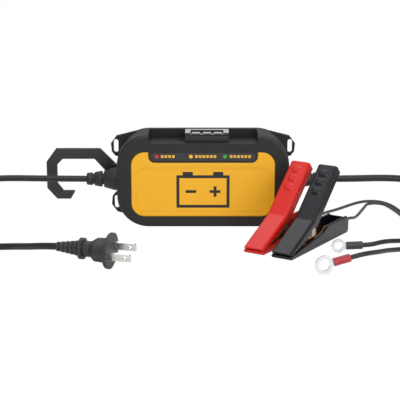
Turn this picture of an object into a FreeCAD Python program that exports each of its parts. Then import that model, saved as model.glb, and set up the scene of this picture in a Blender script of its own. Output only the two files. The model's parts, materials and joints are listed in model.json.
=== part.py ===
import FreeCAD, Part, Sketcher
import math
import os
from types import SimpleNamespace
from FreeCAD import Vector, Placement, Rotation

# Small battery charger for cars: moulded housing with a hanging hook, a mains cord with plug,
# and a low-voltage cord that feeds either a pair of clamps or a pair of ring terminals.
# Frame: millimetres, +X right, +Y to the back, +Z up, origin under the middle of the housing.

doc = FreeCAD.newDocument("BatteryCharger")
sheet = doc.addObject("Spreadsheet::Sheet", "Sizes")

# Driving sizes in millimetres, and angles in degrees
driving = {
    # housing
    "bodyWidth": 136, "bodyHeight": 74.4, "bodyDepth": 36, "cornerRadius": 25,
    "rearDepth": 9, "wall": 2.5, "frontRound": 2.5, "backRound": 4,
    # notch and slide
    "notchWidth": 84, "notchDepth": 6.9, "notchFlare": 0.15, "slideX": 3.15, "slideWidth": 34.5,
    "slideSetback": 7.2,
    "slideBackGap": 0.8, "slideHeight": 4.4, "slideRim": 2.2, "rimWidth": 4.2, "slideTravel": 8,
    "ribLength": 28, "ribWidth": 2.2, "slideGap": 0.3, "ribGap": 0.5, "footThick": 1.2,
    "pegOffset": 5, "pegWidth": 3, "pegLong": 3.6, "switchWide": 9.4, "switchHigh": 7.5,
    # face panel and lights
    "panelWidth": 113.2, "panelLow": 9, "panelHigh": 13.8, "panelRadius": 10.5,
    "panelThick": 2.4, "panelSeat": 1.2, "panelGap": 0.15, "panelBevel": 0.8, "panelInset": 3.6,
    "panelSink": 0.7, "tabMargin": 13.6, "tabDrop": 8.3, "tabRadius": 5, "overlayInset": 1.4,
    "overlayThick": 0.8, "overlaySeat": 0.5, "lightRadius": 1.5, "lightDrop": 3.2,
    "faultX": -36.3, "chargeX": -9.5, "fullX": 17.2, "lightProud": 0.4, "lightFlange": 2.3,
    # ears, lug and hook
    "earThick": 4, "earSlotX": 70, "earSlotRise": 23.2, "slotWidth": 3.8, "slotLength": 11,
    "hookPivotX": -72, "hookPivotZ": 36.5, "hookThick": 3.6, "hookGap": 0.3, "hookReach": 55.2,
    "hookRise": 20.5, "hookDrop": 21.4, "hookBand": 8.6, "hookCut": 9.5, "hookEye": 7.5,
    "hookMouth": 11.5, "pinRadius": 2.4, "runningGap": 0.06, "pinHead": 4.2, "pinHeadThick": 1,
    "pocketRadius": 59, "pocketFloorZ": 14.4, "pocketWeb": 2.2, "lugRadius": 8.5,
    # cord exits
    "exitZ": 36, "exitY": -3, "flareLong": 11, "flareRadius": 9.5, "flareEnd": 6.75,
    "groove": 1.2, "grooveRadius": 4.7, "ringLong": 6.7, "ringRadius": 6.5, "tipLong": 5,
    "tipRadius": 5, "exitNeck": 5.6, "exitFlange": 8, "exitFlangeLong": 2,
    # screws, board and what stands on it
    "screwX": 50, "screwLow": 14, "screwHigh": 15.4, "bossRadius": 3.2, "screwRadius": 1.4,
    "screwHead": 2.7, "screwHeadLong": 1.8, "screwSeat": 3, "screwLong": 16,
    "boardWidth": 88, "boardLow": 9, "boardHigh": 13.4, "boardThick": 1.6, "boardY": 5,
    "postInsetX": 2.8, "postInsetZ": 5, "postRadius": 2.8, "boardScrewLong": 5,
    "coreWidth": 30, "coreDepth": 16, "coreHeight": 20, "coreX": -20, "coreLeg": 8,
    "coreYoke": 3, "coreSide": 4, "coilHeight": 33, "canRadius": 5, "canHeight": 15,
    "sinkX": 33, "sinkWidth": 14, "sinkHeight": 30, "sinkDepth": 13, "finThick": 1.4,
    "fuseLong": 20, "fuseRadius": 2.6, "fuseX": 10, "fuseZ": 15, "wireRadius": 0.8,
    # cords
    "mainsDiameter": 5, "outputDiameter": 5.4, "clampLeadDiameter": 2.4, "ringLeadDiameter": 3.5,
    "mainsCoilX": -209, "mainsCoilY": -55, "mainsCoilRadius": 30, "mainsPitch": 5.6,
    "outputCoilX": 223, "outputCoilY": 48, "outputCoilRadius": 30, "outputPitch": 6,
    "tieThick": 1, "tieWidth": 6, "tieGap": 0.3,
    # plug
    "plugX": -104.3, "plugY": -115.7, "plugAxisZ": 12.4, "plugYaw": -16, "plugRoll": 22,
    "plugReliefLong": 17.7, "plugBodyLong": 39, "plugBodyWidth": 20, "plugBodyHigh": 14.5,
    "flangeWide": 27.4, "flangeHigh": 23, "flangeThick": 2.5, "bladeWide": 6.35, "bladeThick": 1.5,
    "bladeLong": 16, "bladePitch": 12.7, "bladeHole": 1.6,
    # clamps
    "clampWidth": 16.5, "clampLong": 92, "coverWall": 1.8, "coverRound": 2.2, "jawWall": 1,
    "jawGap": 0.2, "noseHigh": 6.5, "noseDepth": 3.4, "leverDepth": 8.5, "firstRun": 35.9,
    "firstSlope": 26.1, "secondRun": 50.9, "secondSlope": 42.9, "openingLean": 34,
    "clampPivotX": 34, "clampPivotZ": 13, "rivetRelief": 0.4,
    "rivetRadius": 2, "rivetHead": 3.2, "rivetHeadThick": 0.9, "eyeLong": 12, "upperJawTail": 26,
    "lowerJawTail": 34, "toothRadius": 1.1, "toothPitch": 3, "toothStart": 8,
    "lowerNoseHigh": 2.9, "lowerMidHigh": 9.5, "lowerRearHigh": 13.5, "bootLong": 11,
    "bootRadius": 3.2, "bootTip": 2, "bootZ": 6, "padLong": 5.5, "padWide": 6.5, "padHigh": 0.8,
    "padPitch": 8.2, "springWire": 1.2, "springRadius": 3.6, "springPitch": 1.75,
    "springLegUp": 14, "springLegDown": 10.8,
    "redNoseX": 37.9, "redNoseY": -91.8, "blackNoseX": 57.6, "blackNoseY": -105, "clampYaw": 57.5,
    # ring terminals and connectors
    "smallRing": 5.25, "smallHole": 3.2, "largeRing": 6.75, "largeHole": 4.2, "ringThick": 1,
    "smallX": 99.8, "smallY": -90.1, "smallYaw": 8, "smallTilt": 0, "largeX": 83.9,
    "largeY": -142.6, "largeYaw": 16, "largeTilt": -11, "sleeveLong": 11.5, "sleeveRadius": 2.9,
    "barrelRadius": 2.1, "plugletLong": 20, "plugletWide": 15, "plugletHigh": 9,
    "outputPlugX": 222, "outputPlugY": -15, "ringPlugX": 210, "ringPlugY": -31.2,
    "capLong": 9, "capWall": 1.2, "holderRadius": 5.5, "holderLong": 28,
}


class Size:
    """A number that carries its own spreadsheet formula."""

    def __init__(self, text, number):
        self.text = text
        self.number = number

    def __add__(self, other):
        return Size(f"({self.text} + {textOf(other)})", self.number + float(other))

    def __radd__(self, other):
        return Size(f"({textOf(other)} + {self.text})", float(other) + self.number)

    def __sub__(self, other):
        return Size(f"({self.text} - {textOf(other)})", self.number - float(other))

    def __rsub__(self, other):
        return Size(f"({textOf(other)} - {self.text})", float(other) - self.number)

    def __mul__(self, other):
        return Size(f"({self.text} * {textOf(other)})", self.number * float(other))

    def __rmul__(self, other):
        return Size(f"({textOf(other)} * {self.text})", float(other) * self.number)

    def __truediv__(self, other):
        return Size(f"({self.text} / {textOf(other)})", self.number / float(other))

    def __neg__(self):
        return Size(f"(0 - {self.text})", -self.number)

    def __float__(self):
        return float(self.number)


def textOf(value):
    return value.text if isinstance(value, Size) else repr(value)


size = SimpleNamespace()
for rowIndex, (alias, number) in enumerate(driving.items(), start=1):
    sheet.set(f"A{rowIndex}", alias)
    sheet.set(f"B{rowIndex}", str(number))
    sheet.setAlias(f"B{rowIndex}", alias)
doc.recompute()
for alias in driving:
    setattr(size, alias, Size(f"Sizes.{alias}", float(sheet.get(alias))))

nodes = {}


# Helpers: binding, placing, primitives and sketches

def bind(thing, path, value):
    thing.setExpression(path, textOf(value))


def place(thing, x, y, z, yaw=0, pitch=0, roll=0):
    centre = f"vector({textOf(x)}; {textOf(y)}; {textOf(z)})"
    turn = f"rotation({textOf(yaw)}; {textOf(pitch)}; {textOf(roll)})"
    thing.setExpression("Placement", f"placement({centre}; {turn})")


def keep(label, thing):
    thing.Label = label
    nodes[label] = thing
    return thing


def make(owner, kind, name, cut=False):
    if owner is None:
        return doc.addObject(f"Part::{kind}", name)
    sign = "Subtractive" if cut else "Additive"
    return owner.newObject(f"PartDesign::{sign}{kind}", name)


def box(name, x, y, z, owner=None, cut=False):
    """A box between pairs of low and high sides."""
    thing = make(owner, "Box", name, cut)
    bind(thing, "Length", x[1] - x[0])
    bind(thing, "Width", y[1] - y[0])
    bind(thing, "Height", z[1] - z[0])
    place(thing, x[0], y[0], z[0])
    return thing


axisTurn = {"X": (0, 90, 0), "Y": (0, 0, -90), "Z": (0, 0, 0)}


def rod(name, axis, x, y, z, radius, length, owner=None, cut=False):
    thing = make(owner, "Cylinder", name, cut)
    bind(thing, "Radius", radius)
    bind(thing, "Height", length)
    place(thing, x, y, z, *axisTurn[axis])
    return thing


def cut(name, base, *tools):
    body = base
    for index, tool in enumerate(tools):
        step = doc.addObject("Part::Cut", f"{name}Cut{index}")
        step.Base = body
        step.Tool = tool
        body = step
    return body


def fuse(name, *shapes):
    body = doc.addObject("Part::MultiFuse", name)
    body.Shapes = list(shapes)
    body.Refine = True
    return body


def group(name, *shapes):
    body = doc.addObject("Part::Compound", name)
    body.Links = list(shapes)
    return body


def newBody(label):
    body = doc.addObject("PartDesign::Body", "".join(part.title() for part in label.split("_")))
    doc.recompute()
    return keep(label, body)


def newSketch(body, name, y):
    """A sketch parallel to the XZ plane at depth y, whose pads go towards the front."""
    sketch = body.newObject("Sketcher::SketchObject", name)
    plane = [item for item in body.Origin.OriginFeatures if item.Role == "XZ_Plane"][0]
    sketch.AttachmentSupport = [(plane, "")]
    sketch.MapMode = "FlatFace"
    bind(sketch, "AttachmentOffset.Base.z", 0 - y)
    return sketch


def hold(sketch, kind, value, *where):
    """Adds a dimension to a sketch and ties it to the sheet."""
    index = sketch.addConstraint(Sketcher.Constraint(kind, *where, float(value)))
    bind(sketch, f"Constraints[{index}]", value)


def addRoundedRectangle(sketch, x, z, width, height, radius):
    first = sketch.GeometryCount
    halfX = float(width) / 2
    halfZ = float(height) / 2
    curve = float(radius)
    middle = Vector(float(x), float(z), 0)
    turns = [(1, 1, 0), (-1, 1, 90), (-1, -1, 180), (1, -1, 270)]
    for signX, signZ, start in turns:
        centre = middle + Vector(signX * (halfX - curve), signZ * (halfZ - curve), 0)
        circle = Part.Circle(centre, Vector(0, 0, 1), curve)
        sketch.addGeometry(Part.ArcOfCircle(circle, math.radians(start), math.radians(start + 90)))
    for index in range(4):
        ends = [sketch.Geometry[first + index].EndPoint,
                sketch.Geometry[first + (index + 1) % 4].StartPoint]
        sketch.addGeometry(Part.LineSegment(*ends))
    for index in range(4):
        line = first + 4 + index
        sketch.addConstraint(Sketcher.Constraint("Tangent", first + index, 2, line, 1))
        sketch.addConstraint(Sketcher.Constraint("Tangent", line, 2, first + (index + 1) % 4, 1))
        if index:
            sketch.addConstraint(Sketcher.Constraint("Equal", first, first + index))
        direction = "Vertical" if index % 2 else "Horizontal"
        sketch.addConstraint(Sketcher.Constraint(direction, line))
    hold(sketch, "Radius", radius, first)
    hold(sketch, "DistanceX", x + width / 2, -1, 1, first + 7, 1)
    hold(sketch, "DistanceX", x - width / 2, -1, 1, first + 5, 1)
    hold(sketch, "DistanceY", z + height / 2, -1, 1, first + 4, 1)
    hold(sketch, "DistanceY", z - height / 2, -1, 1, first + 6, 1)


def addPolygon(sketch, points):
    """A closed outline through points, each pinned by its two distances from the origin."""
    first = sketch.GeometryCount
    count = len(points)
    for index in range(count):
        ends = [Vector(float(point[0]), float(point[1]), 0)
                for point in (points[index], points[(index + 1) % count])]
        sketch.addGeometry(Part.LineSegment(*ends))
    for index in range(count):
        following = first + (index + 1) % count
        sketch.addConstraint(Sketcher.Constraint("Coincident", first + index, 2, following, 1))
    for index, point in enumerate(points):
        hold(sketch, "DistanceX", point[0], -1, 1, first + index, 1)
        hold(sketch, "DistanceY", point[1], -1, 1, first + index, 1)


def addCircle(sketch, x, z, radius):
    circle = Part.Circle(Vector(float(x), float(z), 0), Vector(0, 0, 1), float(radius))
    index = sketch.addGeometry(circle)
    hold(sketch, "Radius", radius, index)
    hold(sketch, "DistanceX", x, -1, 1, index, 3)
    hold(sketch, "DistanceY", z, -1, 1, index, 3)


def pad(body, sketch, length):
    feature = body.newObject("PartDesign::Pad", sketch.Name + "Pad")
    feature.Profile = sketch
    bind(feature, "Length", length)
    doc.recompute()
    return feature


def pocket(body, sketch, length, towardsFront=False):
    before = body.Shape.Volume
    feature = body.newObject("PartDesign::Pocket", sketch.Name + "Pocket")
    feature.Profile = sketch
    feature.Reversed = towardsFront
    bind(feature, "Length", length)
    doc.recompute()
    if feature.Shape.Volume >= before:
        raise ValueError(f"{sketch.Name} cuts nothing")
    return feature


def soften(body, kind, value, wanted):
    """Rounds or bevels the edges of the body's last feature that pass the test."""
    doc.recompute()
    base = body.Tip
    names = [f"Edge{index}" for index, edge in enumerate(base.Shape.Edges, start=1) if wanted(edge)]
    feature = body.newObject(f"PartDesign::{kind}", base.Name + kind)
    feature.Base = (base, names)
    bind(feature, "Radius" if kind == "Fillet" else "Size", value)
    doc.recompute()
    return feature


def flatAtY(y):
    """A test for edges that lie in the plane at depth y."""
    level = float(y)
    return lambda edge: abs(edge.BoundBox.YMin - level) + abs(edge.BoundBox.YMax - level) < 0.002


def alongY(edge):
    boxOf = edge.BoundBox
    return boxOf.YLength > 0.5 and boxOf.XLength + boxOf.ZLength < 0.002


# Places that several pieces share

frontY = -size.bodyDepth / 2
backY = size.bodyDepth / 2
splitY = backY - size.rearDepth
frontDepth = size.bodyDepth - size.rearDepth
midZ = size.bodyHeight / 2
sideX = size.bodyWidth / 2
notchZ = size.bodyHeight - size.notchDepth
halfNotch = size.notchWidth / 2
halfShelf = halfNotch + size.notchDepth * size.notchFlare + size.wall
hookBackY = backY
hookFrontY = backY - size.hookThick
pocketY = hookFrontY - size.hookGap
webY = pocketY - size.pocketWeb
screwSeatY = splitY + size.screwSeat
screwSpots = [(sign * size.screwX, z) for sign in (-1, 1)
              for z in (size.screwLow, size.bodyHeight - size.screwHigh)]
panelHeight = size.bodyHeight - size.panelLow - size.panelHigh
panelZ = size.panelLow + panelHeight / 2
panelTopZ = size.bodyHeight - size.panelHigh
tabWidth = size.panelWidth - 2 * size.tabMargin
lightZ = panelTopZ - size.lightDrop
lights = {"fault": size.faultX, "charge": size.chargeX, "full": size.fullX}
overlayY = frontY + size.overlaySeat - size.overlayThick
boardHeight = size.bodyHeight - size.boardLow - size.boardHigh
boardZ = size.boardLow + boardHeight / 2
boardBackY = size.boardY + size.boardThick
postX = size.boardWidth / 2 - size.postInsetX
postRise = boardHeight / 2 - size.postInsetZ
postSpots = [(sign * postX, boardZ + rise * postRise) for sign in (-1, 1) for rise in (-1, 1)]
slideFront = frontY + size.slideSetback
slideBack = splitY - size.slideBackGap
slideY = (slideFront + slideBack) / 2
slideDepth = slideBack - slideFront
slotLeft = size.slideX - size.ribLength / 2 - size.slideTravel - size.ribGap
slotRight = size.slideX + size.ribLength / 2 + size.ribGap


def panelOutline(sketch, gap):
    """The panel's rounded rectangle with the indicator tab let into its top edge."""
    halfX = size.panelWidth / 2 + gap
    top = panelTopZ + gap
    bottom = size.panelLow - gap
    corner = size.panelRadius + gap
    tabX = tabWidth / 2 - gap
    tabZ = panelTopZ - size.tabDrop + gap
    inner = size.tabRadius
    spots = [
        ("line", (-tabX, top), (-halfX + corner, top)),
        ("arc", (-halfX + corner, top - corner), corner, 90, 180),
        ("line", (-halfX, top - corner), (-halfX, bottom + corner)),
        ("arc", (-halfX + corner, bottom + corner), corner, 180, 270),
        ("line", (-halfX + corner, bottom), (halfX - corner, bottom)),
        ("arc", (halfX - corner, bottom + corner), corner, 270, 360),
        ("line", (halfX, bottom + corner), (halfX, top - corner)),
        ("arc", (halfX - corner, top - corner), corner, 0, 90),
        ("line", (halfX - corner, top), (tabX, top)),
        ("line", (tabX, top), (tabX, tabZ + inner)),
        ("arc", (tabX - inner, tabZ + inner), inner, 270, 360),
        ("line", (tabX - inner, tabZ), (-tabX + inner, tabZ)),
        ("arc", (-tabX + inner, tabZ + inner), inner, 180, 270),
        ("line", (-tabX, tabZ + inner), (-tabX, top)),
    ]
    sides = []
    for spot in spots:
        if spot[0] == "line":
            points = [Vector(float(point[0]), float(point[1]), 0) for point in spot[1:]]
            sketch.addGeometry(Part.LineSegment(*points))
            sides.append((points[0], points[1], True))
        else:
            centre = Vector(float(spot[1][0]), float(spot[1][1]), 0)
            circle = Part.Circle(centre, Vector(0, 0, 1), float(spot[2]))
            arc = Part.ArcOfCircle(circle, math.radians(spot[3]), math.radians(spot[4]))
            sketch.addGeometry(arc)
            sides.append((arc.StartPoint, arc.EndPoint, False))
    for index, (start, end, straight) in enumerate(sides):
        following = (index + 1) % len(sides)
        joints = [(1 + first, 1 + second) for first in (0, 1) for second in (0, 1)
                  if sides[index][first].distanceToPoint(sides[following][second]) < 0.001]
        kind = "Coincident" if straight and sides[following][2] else "Tangent"
        sketch.addConstraint(Sketcher.Constraint(kind, index, joints[0][0], following, joints[0][1]))
        if straight:
            upright = abs(start.x - end.x) < 0.001
            sketch.addConstraint(Sketcher.Constraint("Vertical" if upright else "Horizontal", index))
        else:
            hold(sketch, "Radius", spots[index][2], index)
    for index, value in ((2, -halfX), (6, halfX), (9, tabX), (13, -tabX)):
        hold(sketch, "DistanceX", value, -1, 1, index, 1)
    for index, value in ((4, bottom), (0, top), (8, top), (11, tabZ)):
        hold(sketch, "DistanceY", value, -1, 1, index, 1)


def frontShell():
    body = newBody("front_shell")
    outline = newSketch(body, "FrontOutline", splitY)
    addRoundedRectangle(outline, 0, midZ, size.bodyWidth, size.bodyHeight, size.cornerRadius)
    pad(body, outline, frontDepth)
    soften(body, "Fillet", size.frontRound, flatAtY(frontY))
    hollow = newSketch(body, "FrontHollow", splitY)
    addRoundedRectangle(hollow, 0, midZ, size.bodyWidth - 2 * size.wall,
                        size.bodyHeight - 2 * size.wall, size.cornerRadius - size.wall)
    pocket(body, hollow, frontDepth - size.wall, towardsFront=True)
    box("NotchShelf", (-halfShelf, halfShelf), (frontY + size.wall / 2, splitY),
        (notchZ - size.wall, size.bodyHeight - size.wall / 2), body)
    cutNotch(body, "NotchRoom", frontDepth)
    box("RibSlot", (slotLeft, slotRight),
        (slideY - size.ribWidth / 2 - size.slideGap, slideY + size.ribWidth / 2 + size.slideGap),
        (notchZ - size.wall - 1, notchZ + 1), body, cut=True)
    seat = newSketch(body, "PanelSeat", frontY)
    panelOutline(seat, size.panelGap)
    pocket(body, seat, size.panelSeat)
    strip = newSketch(body, "OverlaySeat", frontY)
    overlayShape(strip, size.panelGap)
    pocket(body, strip, size.overlaySeat)
    for name, x in lights.items():
        rod(f"{name.title()}Bore", "Y", x, frontY - 1, lightZ, size.lightRadius,
            size.wall + 2, body, cut=True)
    for index, (x, z) in enumerate(screwSpots):
        rod(f"Boss{index}", "Y", x, frontY + size.wall / 2, z, size.bossRadius,
            frontDepth - size.wall / 2, body)
        rod(f"Pilot{index}", "Y", x, screwSeatY - size.screwLong - size.slideGap, z, size.screwRadius,
            size.screwLong, body, cut=True)
    for name, x in (("Left", -sideX - 1), ("Right", sideX - size.wall - 1)):
        rod(f"{name}Exit", "X", x, size.exitY, size.exitZ, size.exitNeck, size.wall + 2, body, cut=True)


def cutNotch(body, name, length):
    """Cuts the notch for the slide, with its sloping ends, from the split towards the front."""
    sketch = newSketch(body, name, splitY)
    above = size.notchDepth + 1
    flare = above * size.notchFlare
    addPolygon(sketch, [(-halfNotch, notchZ), (halfNotch, notchZ),
                        (halfNotch + flare, notchZ + above), (-halfNotch - flare, notchZ + above)])
    pocket(body, sketch, length, towardsFront=True)


def overlayShape(sketch, gap):
    width = tabWidth - 2 * size.overlayInset + 2 * gap
    height = size.tabDrop - size.overlayInset + 2 * gap
    centreZ = panelTopZ - size.tabDrop / 2 + size.overlayInset / 2
    addRoundedRectangle(sketch, 0, centreZ, width, height, size.tabRadius / 2 + size.wall / 4)


def earPoints(side, level):
    """One lashing ear: a slanted plate round its slot, running into the housing's corner."""
    slotZ = midZ + level * size.earSlotRise
    edge = size.earSlotX + size.slotWidth / 2
    high = slotZ + level * (size.slotLength / 2 + 2.6)
    low = slotZ - level * (size.slotLength / 2 + 2.6)
    inner = sideX - 7
    return [
        (side * (sideX - size.cornerRadius * 0.787), midZ + level * (midZ - size.cornerRadius * 0.023)),
        (side * (size.earSlotX - 0.4), high),
        (side * (edge + 2.2), slotZ + level * 2),
        (side * (edge + 1.6), slotZ - level * 4.5),
        (side * (size.earSlotX + 0.6), low),
        (side * inner, low - level * 2),
    ]


def rearShell():
    body = newBody("rear_shell")
    outline = newSketch(body, "RearOutline", backY)
    addRoundedRectangle(outline, 0, midZ, size.bodyWidth, size.bodyHeight, size.cornerRadius)
    pad(body, outline, backY - splitY)
    soften(body, "Fillet", size.backRound, flatAtY(backY))
    for side in (-1, 1):
        for level in (-1, 1):
            plate = newSketch(body, f"Ear{side + 1}{level + 1}", splitY + size.earThick)
            addPolygon(plate, earPoints(side, level))
            pad(body, plate, size.earThick)
    rod("Lug", "Y", size.hookPivotX, splitY, size.hookPivotZ, size.lugRadius, pocketY - splitY, body)
    box("LugRoot", (size.hookPivotX, -sideX + size.wall), (splitY, pocketY),
        (size.hookPivotZ - size.lugRadius, size.hookPivotZ + size.lugRadius), body)
    hollow = newSketch(body, "RearHollow", splitY)
    addRoundedRectangle(hollow, 0, midZ, size.bodyWidth - 2 * size.wall,
                        size.bodyHeight - 2 * size.wall, size.cornerRadius - size.wall)
    pocket(body, hollow, webY - splitY)
    box("NotchBack", (-halfShelf, halfShelf), (splitY, splitY + size.wall),
        (notchZ - size.wall, size.bodyHeight - size.wall / 2), body)
    deepLeft = size.hookPivotX + size.pocketRadius + size.wall
    box("DeepHollow", (deepLeft, sideX - size.cornerRadius + size.wall), (webY - 1, backY - size.wall),
        (size.wall * 2, size.bodyHeight - size.wall * 2), body, cut=True)
    for index, (x, z) in enumerate(screwSpots):
        rod(f"RearBoss{index}", "Y", x, splitY, z, size.bossRadius, webY - splitY + 1, body)
    for index, (x, z) in enumerate(postSpots):
        rod(f"Post{index}", "Y", x, boardBackY, z, size.postRadius, backY - size.wall - boardBackY + 1, body)
    stow = newSketch(body, "HookPocket", pocketY)
    pocketOutline(stow)
    pocket(body, stow, size.hookThick + size.hookGap + 1)
    for side in (-1, 1):
        for level in (-1, 1):
            earSlot(body, side, level)
    for index, (x, z) in enumerate(screwSpots):
        rod(f"Through{index}", "Y", x, splitY - 1, z, size.screwRadius + size.runningGap,
            size.screwSeat + 2, body, cut=True)
        rod(f"Counterbore{index}", "Y", x, screwSeatY, z, size.screwHead + size.slideGap,
            backY - screwSeatY + 1, body, cut=True)
    for index, (x, z) in enumerate(postSpots):
        rod(f"PostPilot{index}", "Y", x, boardBackY - 1, z, size.screwRadius,
            size.boardScrewLong - size.boardThick + 1, body, cut=True)
    rod("LugBore", "Y", size.hookPivotX, splitY - 1, size.hookPivotZ, size.pinRadius,
        pocketY - splitY + 2, body, cut=True)


def pocketOutline(sketch):
    """The hook's stowing pocket: a quarter disc about the pivot, open to the left and the top."""
    radius = float(size.pocketRadius)
    pivot = Vector(float(size.hookPivotX), float(size.hookPivotZ), 0)
    floorZ = float(size.pocketFloorZ)
    startAngle = math.asin((floorZ - pivot.y) / radius)
    arc = Part.ArcOfCircle(Part.Circle(pivot, Vector(0, 0, 1), radius), startAngle, math.pi / 2)
    sketch.addGeometry(arc)
    leftX = pivot.x - radius
    corners = [arc.EndPoint, Vector(leftX, pivot.y + radius, 0), Vector(leftX, floorZ, 0), arc.StartPoint]
    for index in range(3):
        sketch.addGeometry(Part.LineSegment(corners[index], corners[index + 1]))
    for first, second in (((0, 2), (1, 1)), ((1, 2), (2, 1)), ((2, 2), (3, 1)), ((3, 2), (0, 1))):
        sketch.addConstraint(Sketcher.Constraint("Coincident", *first, *second))
    for line, direction in ((1, "Horizontal"), (2, "Vertical"), (3, "Horizontal")):
        sketch.addConstraint(Sketcher.Constraint(direction, line))
    hold(sketch, "Radius", size.pocketRadius, 0)
    hold(sketch, "DistanceX", size.hookPivotX, -1, 1, 0, 3)
    hold(sketch, "DistanceY", size.hookPivotZ, -1, 1, 0, 3)
    hold(sketch, "DistanceX", size.hookPivotX, -1, 1, 0, 2)
    hold(sketch, "DistanceX", size.hookPivotX - size.pocketRadius, -1, 1, 2, 1)
    hold(sketch, "DistanceY", size.pocketFloorZ, -1, 1, 3, 1)


def earSlot(body, side, level):
    x = side * size.earSlotX
    z = midZ + level * size.earSlotRise
    radius = size.slotWidth / 2
    reach = size.slotLength / 2 - radius
    name = f"Slot{side + 1}{level + 1}"
    box(name, (x - radius, x + radius), (splitY - 1, splitY + size.earThick + 1), (z - reach, z + reach),
        body, cut=True)
    for end in (-1, 1):
        rod(f"{name}End{end + 1}", "Y", x, splitY - 1, z + end * reach, radius, size.earThick + 2,
            body, cut=True)


def gasketRing(body, name):
    """Two outlines inside the shells' rim, with the gasket's section between them."""
    sketch = newSketch(body, name, splitY)
    for share in (1, 2):
        inset = share * size.wall / 3
        addRoundedRectangle(sketch, 0, midZ, size.bodyWidth - 2 * inset, size.bodyHeight - 2 * inset,
                            size.cornerRadius - inset)
    return sketch


def gasket():
    """The gasket, and the groove of the same section in the front shell's rim."""
    body = newBody("shell_gasket")
    pad(body, gasketRing(body, "GasketRing"), size.wall / 3)
    cutNotch(body, "GasketNotch", size.wall)
    shell = nodes["front_shell"]
    pocket(shell, gasketRing(shell, "GasketGroove"), size.wall / 3, towardsFront=True)


def facePanel():
    body = newBody("face_panel")
    sketch = newSketch(body, "PanelOutline", frontY + size.panelSeat)
    panelOutline(sketch, 0)
    pad(body, sketch, size.panelThick)
    soften(body, "Chamfer", size.panelBevel, flatAtY(frontY + size.panelSeat - size.panelThick))
    sunk = newSketch(body, "PanelSink", frontY + size.panelSeat - size.panelThick)
    height = panelHeight - size.tabDrop - 2 * size.panelInset
    centreZ = panelZ - size.tabDrop / 2
    addRoundedRectangle(sunk, 0, centreZ, size.panelWidth - 2 * size.panelInset, height,
                        size.panelRadius - size.panelInset)
    pocket(body, sunk, size.panelSink)


def overlay():
    body = newBody("indicator_overlay")
    sketch = newSketch(body, "OverlayOutline", frontY + size.overlaySeat)
    overlayShape(sketch, 0)
    for x in lights.values():
        addCircle(sketch, x, lightZ, size.lightRadius)
    pad(body, sketch, size.overlayThick)
    for name, x in lights.items():
        pipe = rod(f"{name.title()}Pipe", "Y", x, overlayY - size.lightProud, lightZ,
                   size.lightRadius, frontY + size.wall - overlayY + size.lightProud)
        flange = rod(f"{name.title()}Flange", "Y", x, frontY + size.wall, lightZ,
                     size.lightFlange, size.overlayThick)
        keep(f"lens_{name}", fuse(f"Lens{name.title()}", pipe, flange))


def selectorSlide():
    low = notchZ + size.slideGap
    left = size.slideX - size.slideWidth / 2
    right = size.slideX + size.slideWidth / 2
    top = low + size.slideHeight
    rimTop = top + size.slideRim
    block = box("SlideBlock", (left, right), (slideFront, slideBack), (low, rimTop))
    well = box("SlideWell", (left + size.rimWidth, right - size.rimWidth),
               (slideFront - 1, slideBack - size.rimWidth), (top, rimTop + 1))
    slope = box("SlideLip", (left - 1, right + 1), (slideFront - 1, slideFront + size.rimWidth / 2),
                (top, rimTop + 1))
    pieces = []
    padSize = slideDepth / 3
    pitch = (size.slideWidth - 2 * size.rimWidth) / 3
    for index in (-1, 0, 1):
        x = size.slideX + index * pitch
        y = slideBack - size.rimWidth - padSize * 1.5
        pieces.append(box(f"SlidePad{index + 1}", (x - padSize / 2, x + padSize / 2),
                          (y - padSize / 2, y + padSize / 2), (top - 1, top + size.slideRim * 0.8)))
    for index in range(4):
        x = size.slideX + (index - 1.5) * pitch
        y = slideFront + size.rimWidth * 0.9
        pieces.append(box(f"SlideTooth{index}", (x - padSize / 5, x + padSize / 5),
                          (y - padSize / 4, y + padSize / 4), (top - 1, top + size.slideRim * 0.5)))
    rib = box("SlideRib", (size.slideX - size.ribLength / 2, size.slideX + size.ribLength / 2),
              (slideY - size.ribWidth / 2, slideY + size.ribWidth / 2),
              (notchZ - size.wall - size.slideGap - 1, low + 1))
    footTop = notchZ - size.wall - size.slideGap
    foot = box("SlideFoot", (size.slideX - size.ribLength / 2, size.slideX + size.ribLength / 2),
               (slideY - size.ribWidth * 1.5, slideY + size.ribWidth * 1.5),
               (footTop - size.footThick, footTop))
    pegX = size.slideX + size.pegOffset
    pegHalf = size.pegWidth / 2
    peg = box("SlidePeg", (pegX - pegHalf, pegX + pegHalf),
              (slideY - size.ribWidth / 2, slideY + size.ribWidth / 2),
              (footTop - size.pegLong, footTop - 1))
    keep("selector_slide", fuse("SelectorSlide", cut("Slide", block, well, slope), *pieces, rib, foot, peg))
    switchTop = footTop - size.footThick - size.slideGap
    gap = size.slideGap + 0.1
    case = box("SwitchCase", (pegX - size.slideTravel - size.pegWidth, pegX + size.pegWidth),
               (slideY - size.switchWide / 2, size.boardY), (switchTop - size.switchHigh, switchTop))
    groove = box("SwitchGroove", (pegX - size.slideTravel - pegHalf - gap, pegX + pegHalf + gap),
                 (slideY - size.ribWidth / 2 - gap, slideY + size.ribWidth / 2 + gap),
                 (switchTop - 3, switchTop + 1))
    keep("selector_switch", cut("Switch", case, groove))


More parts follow.
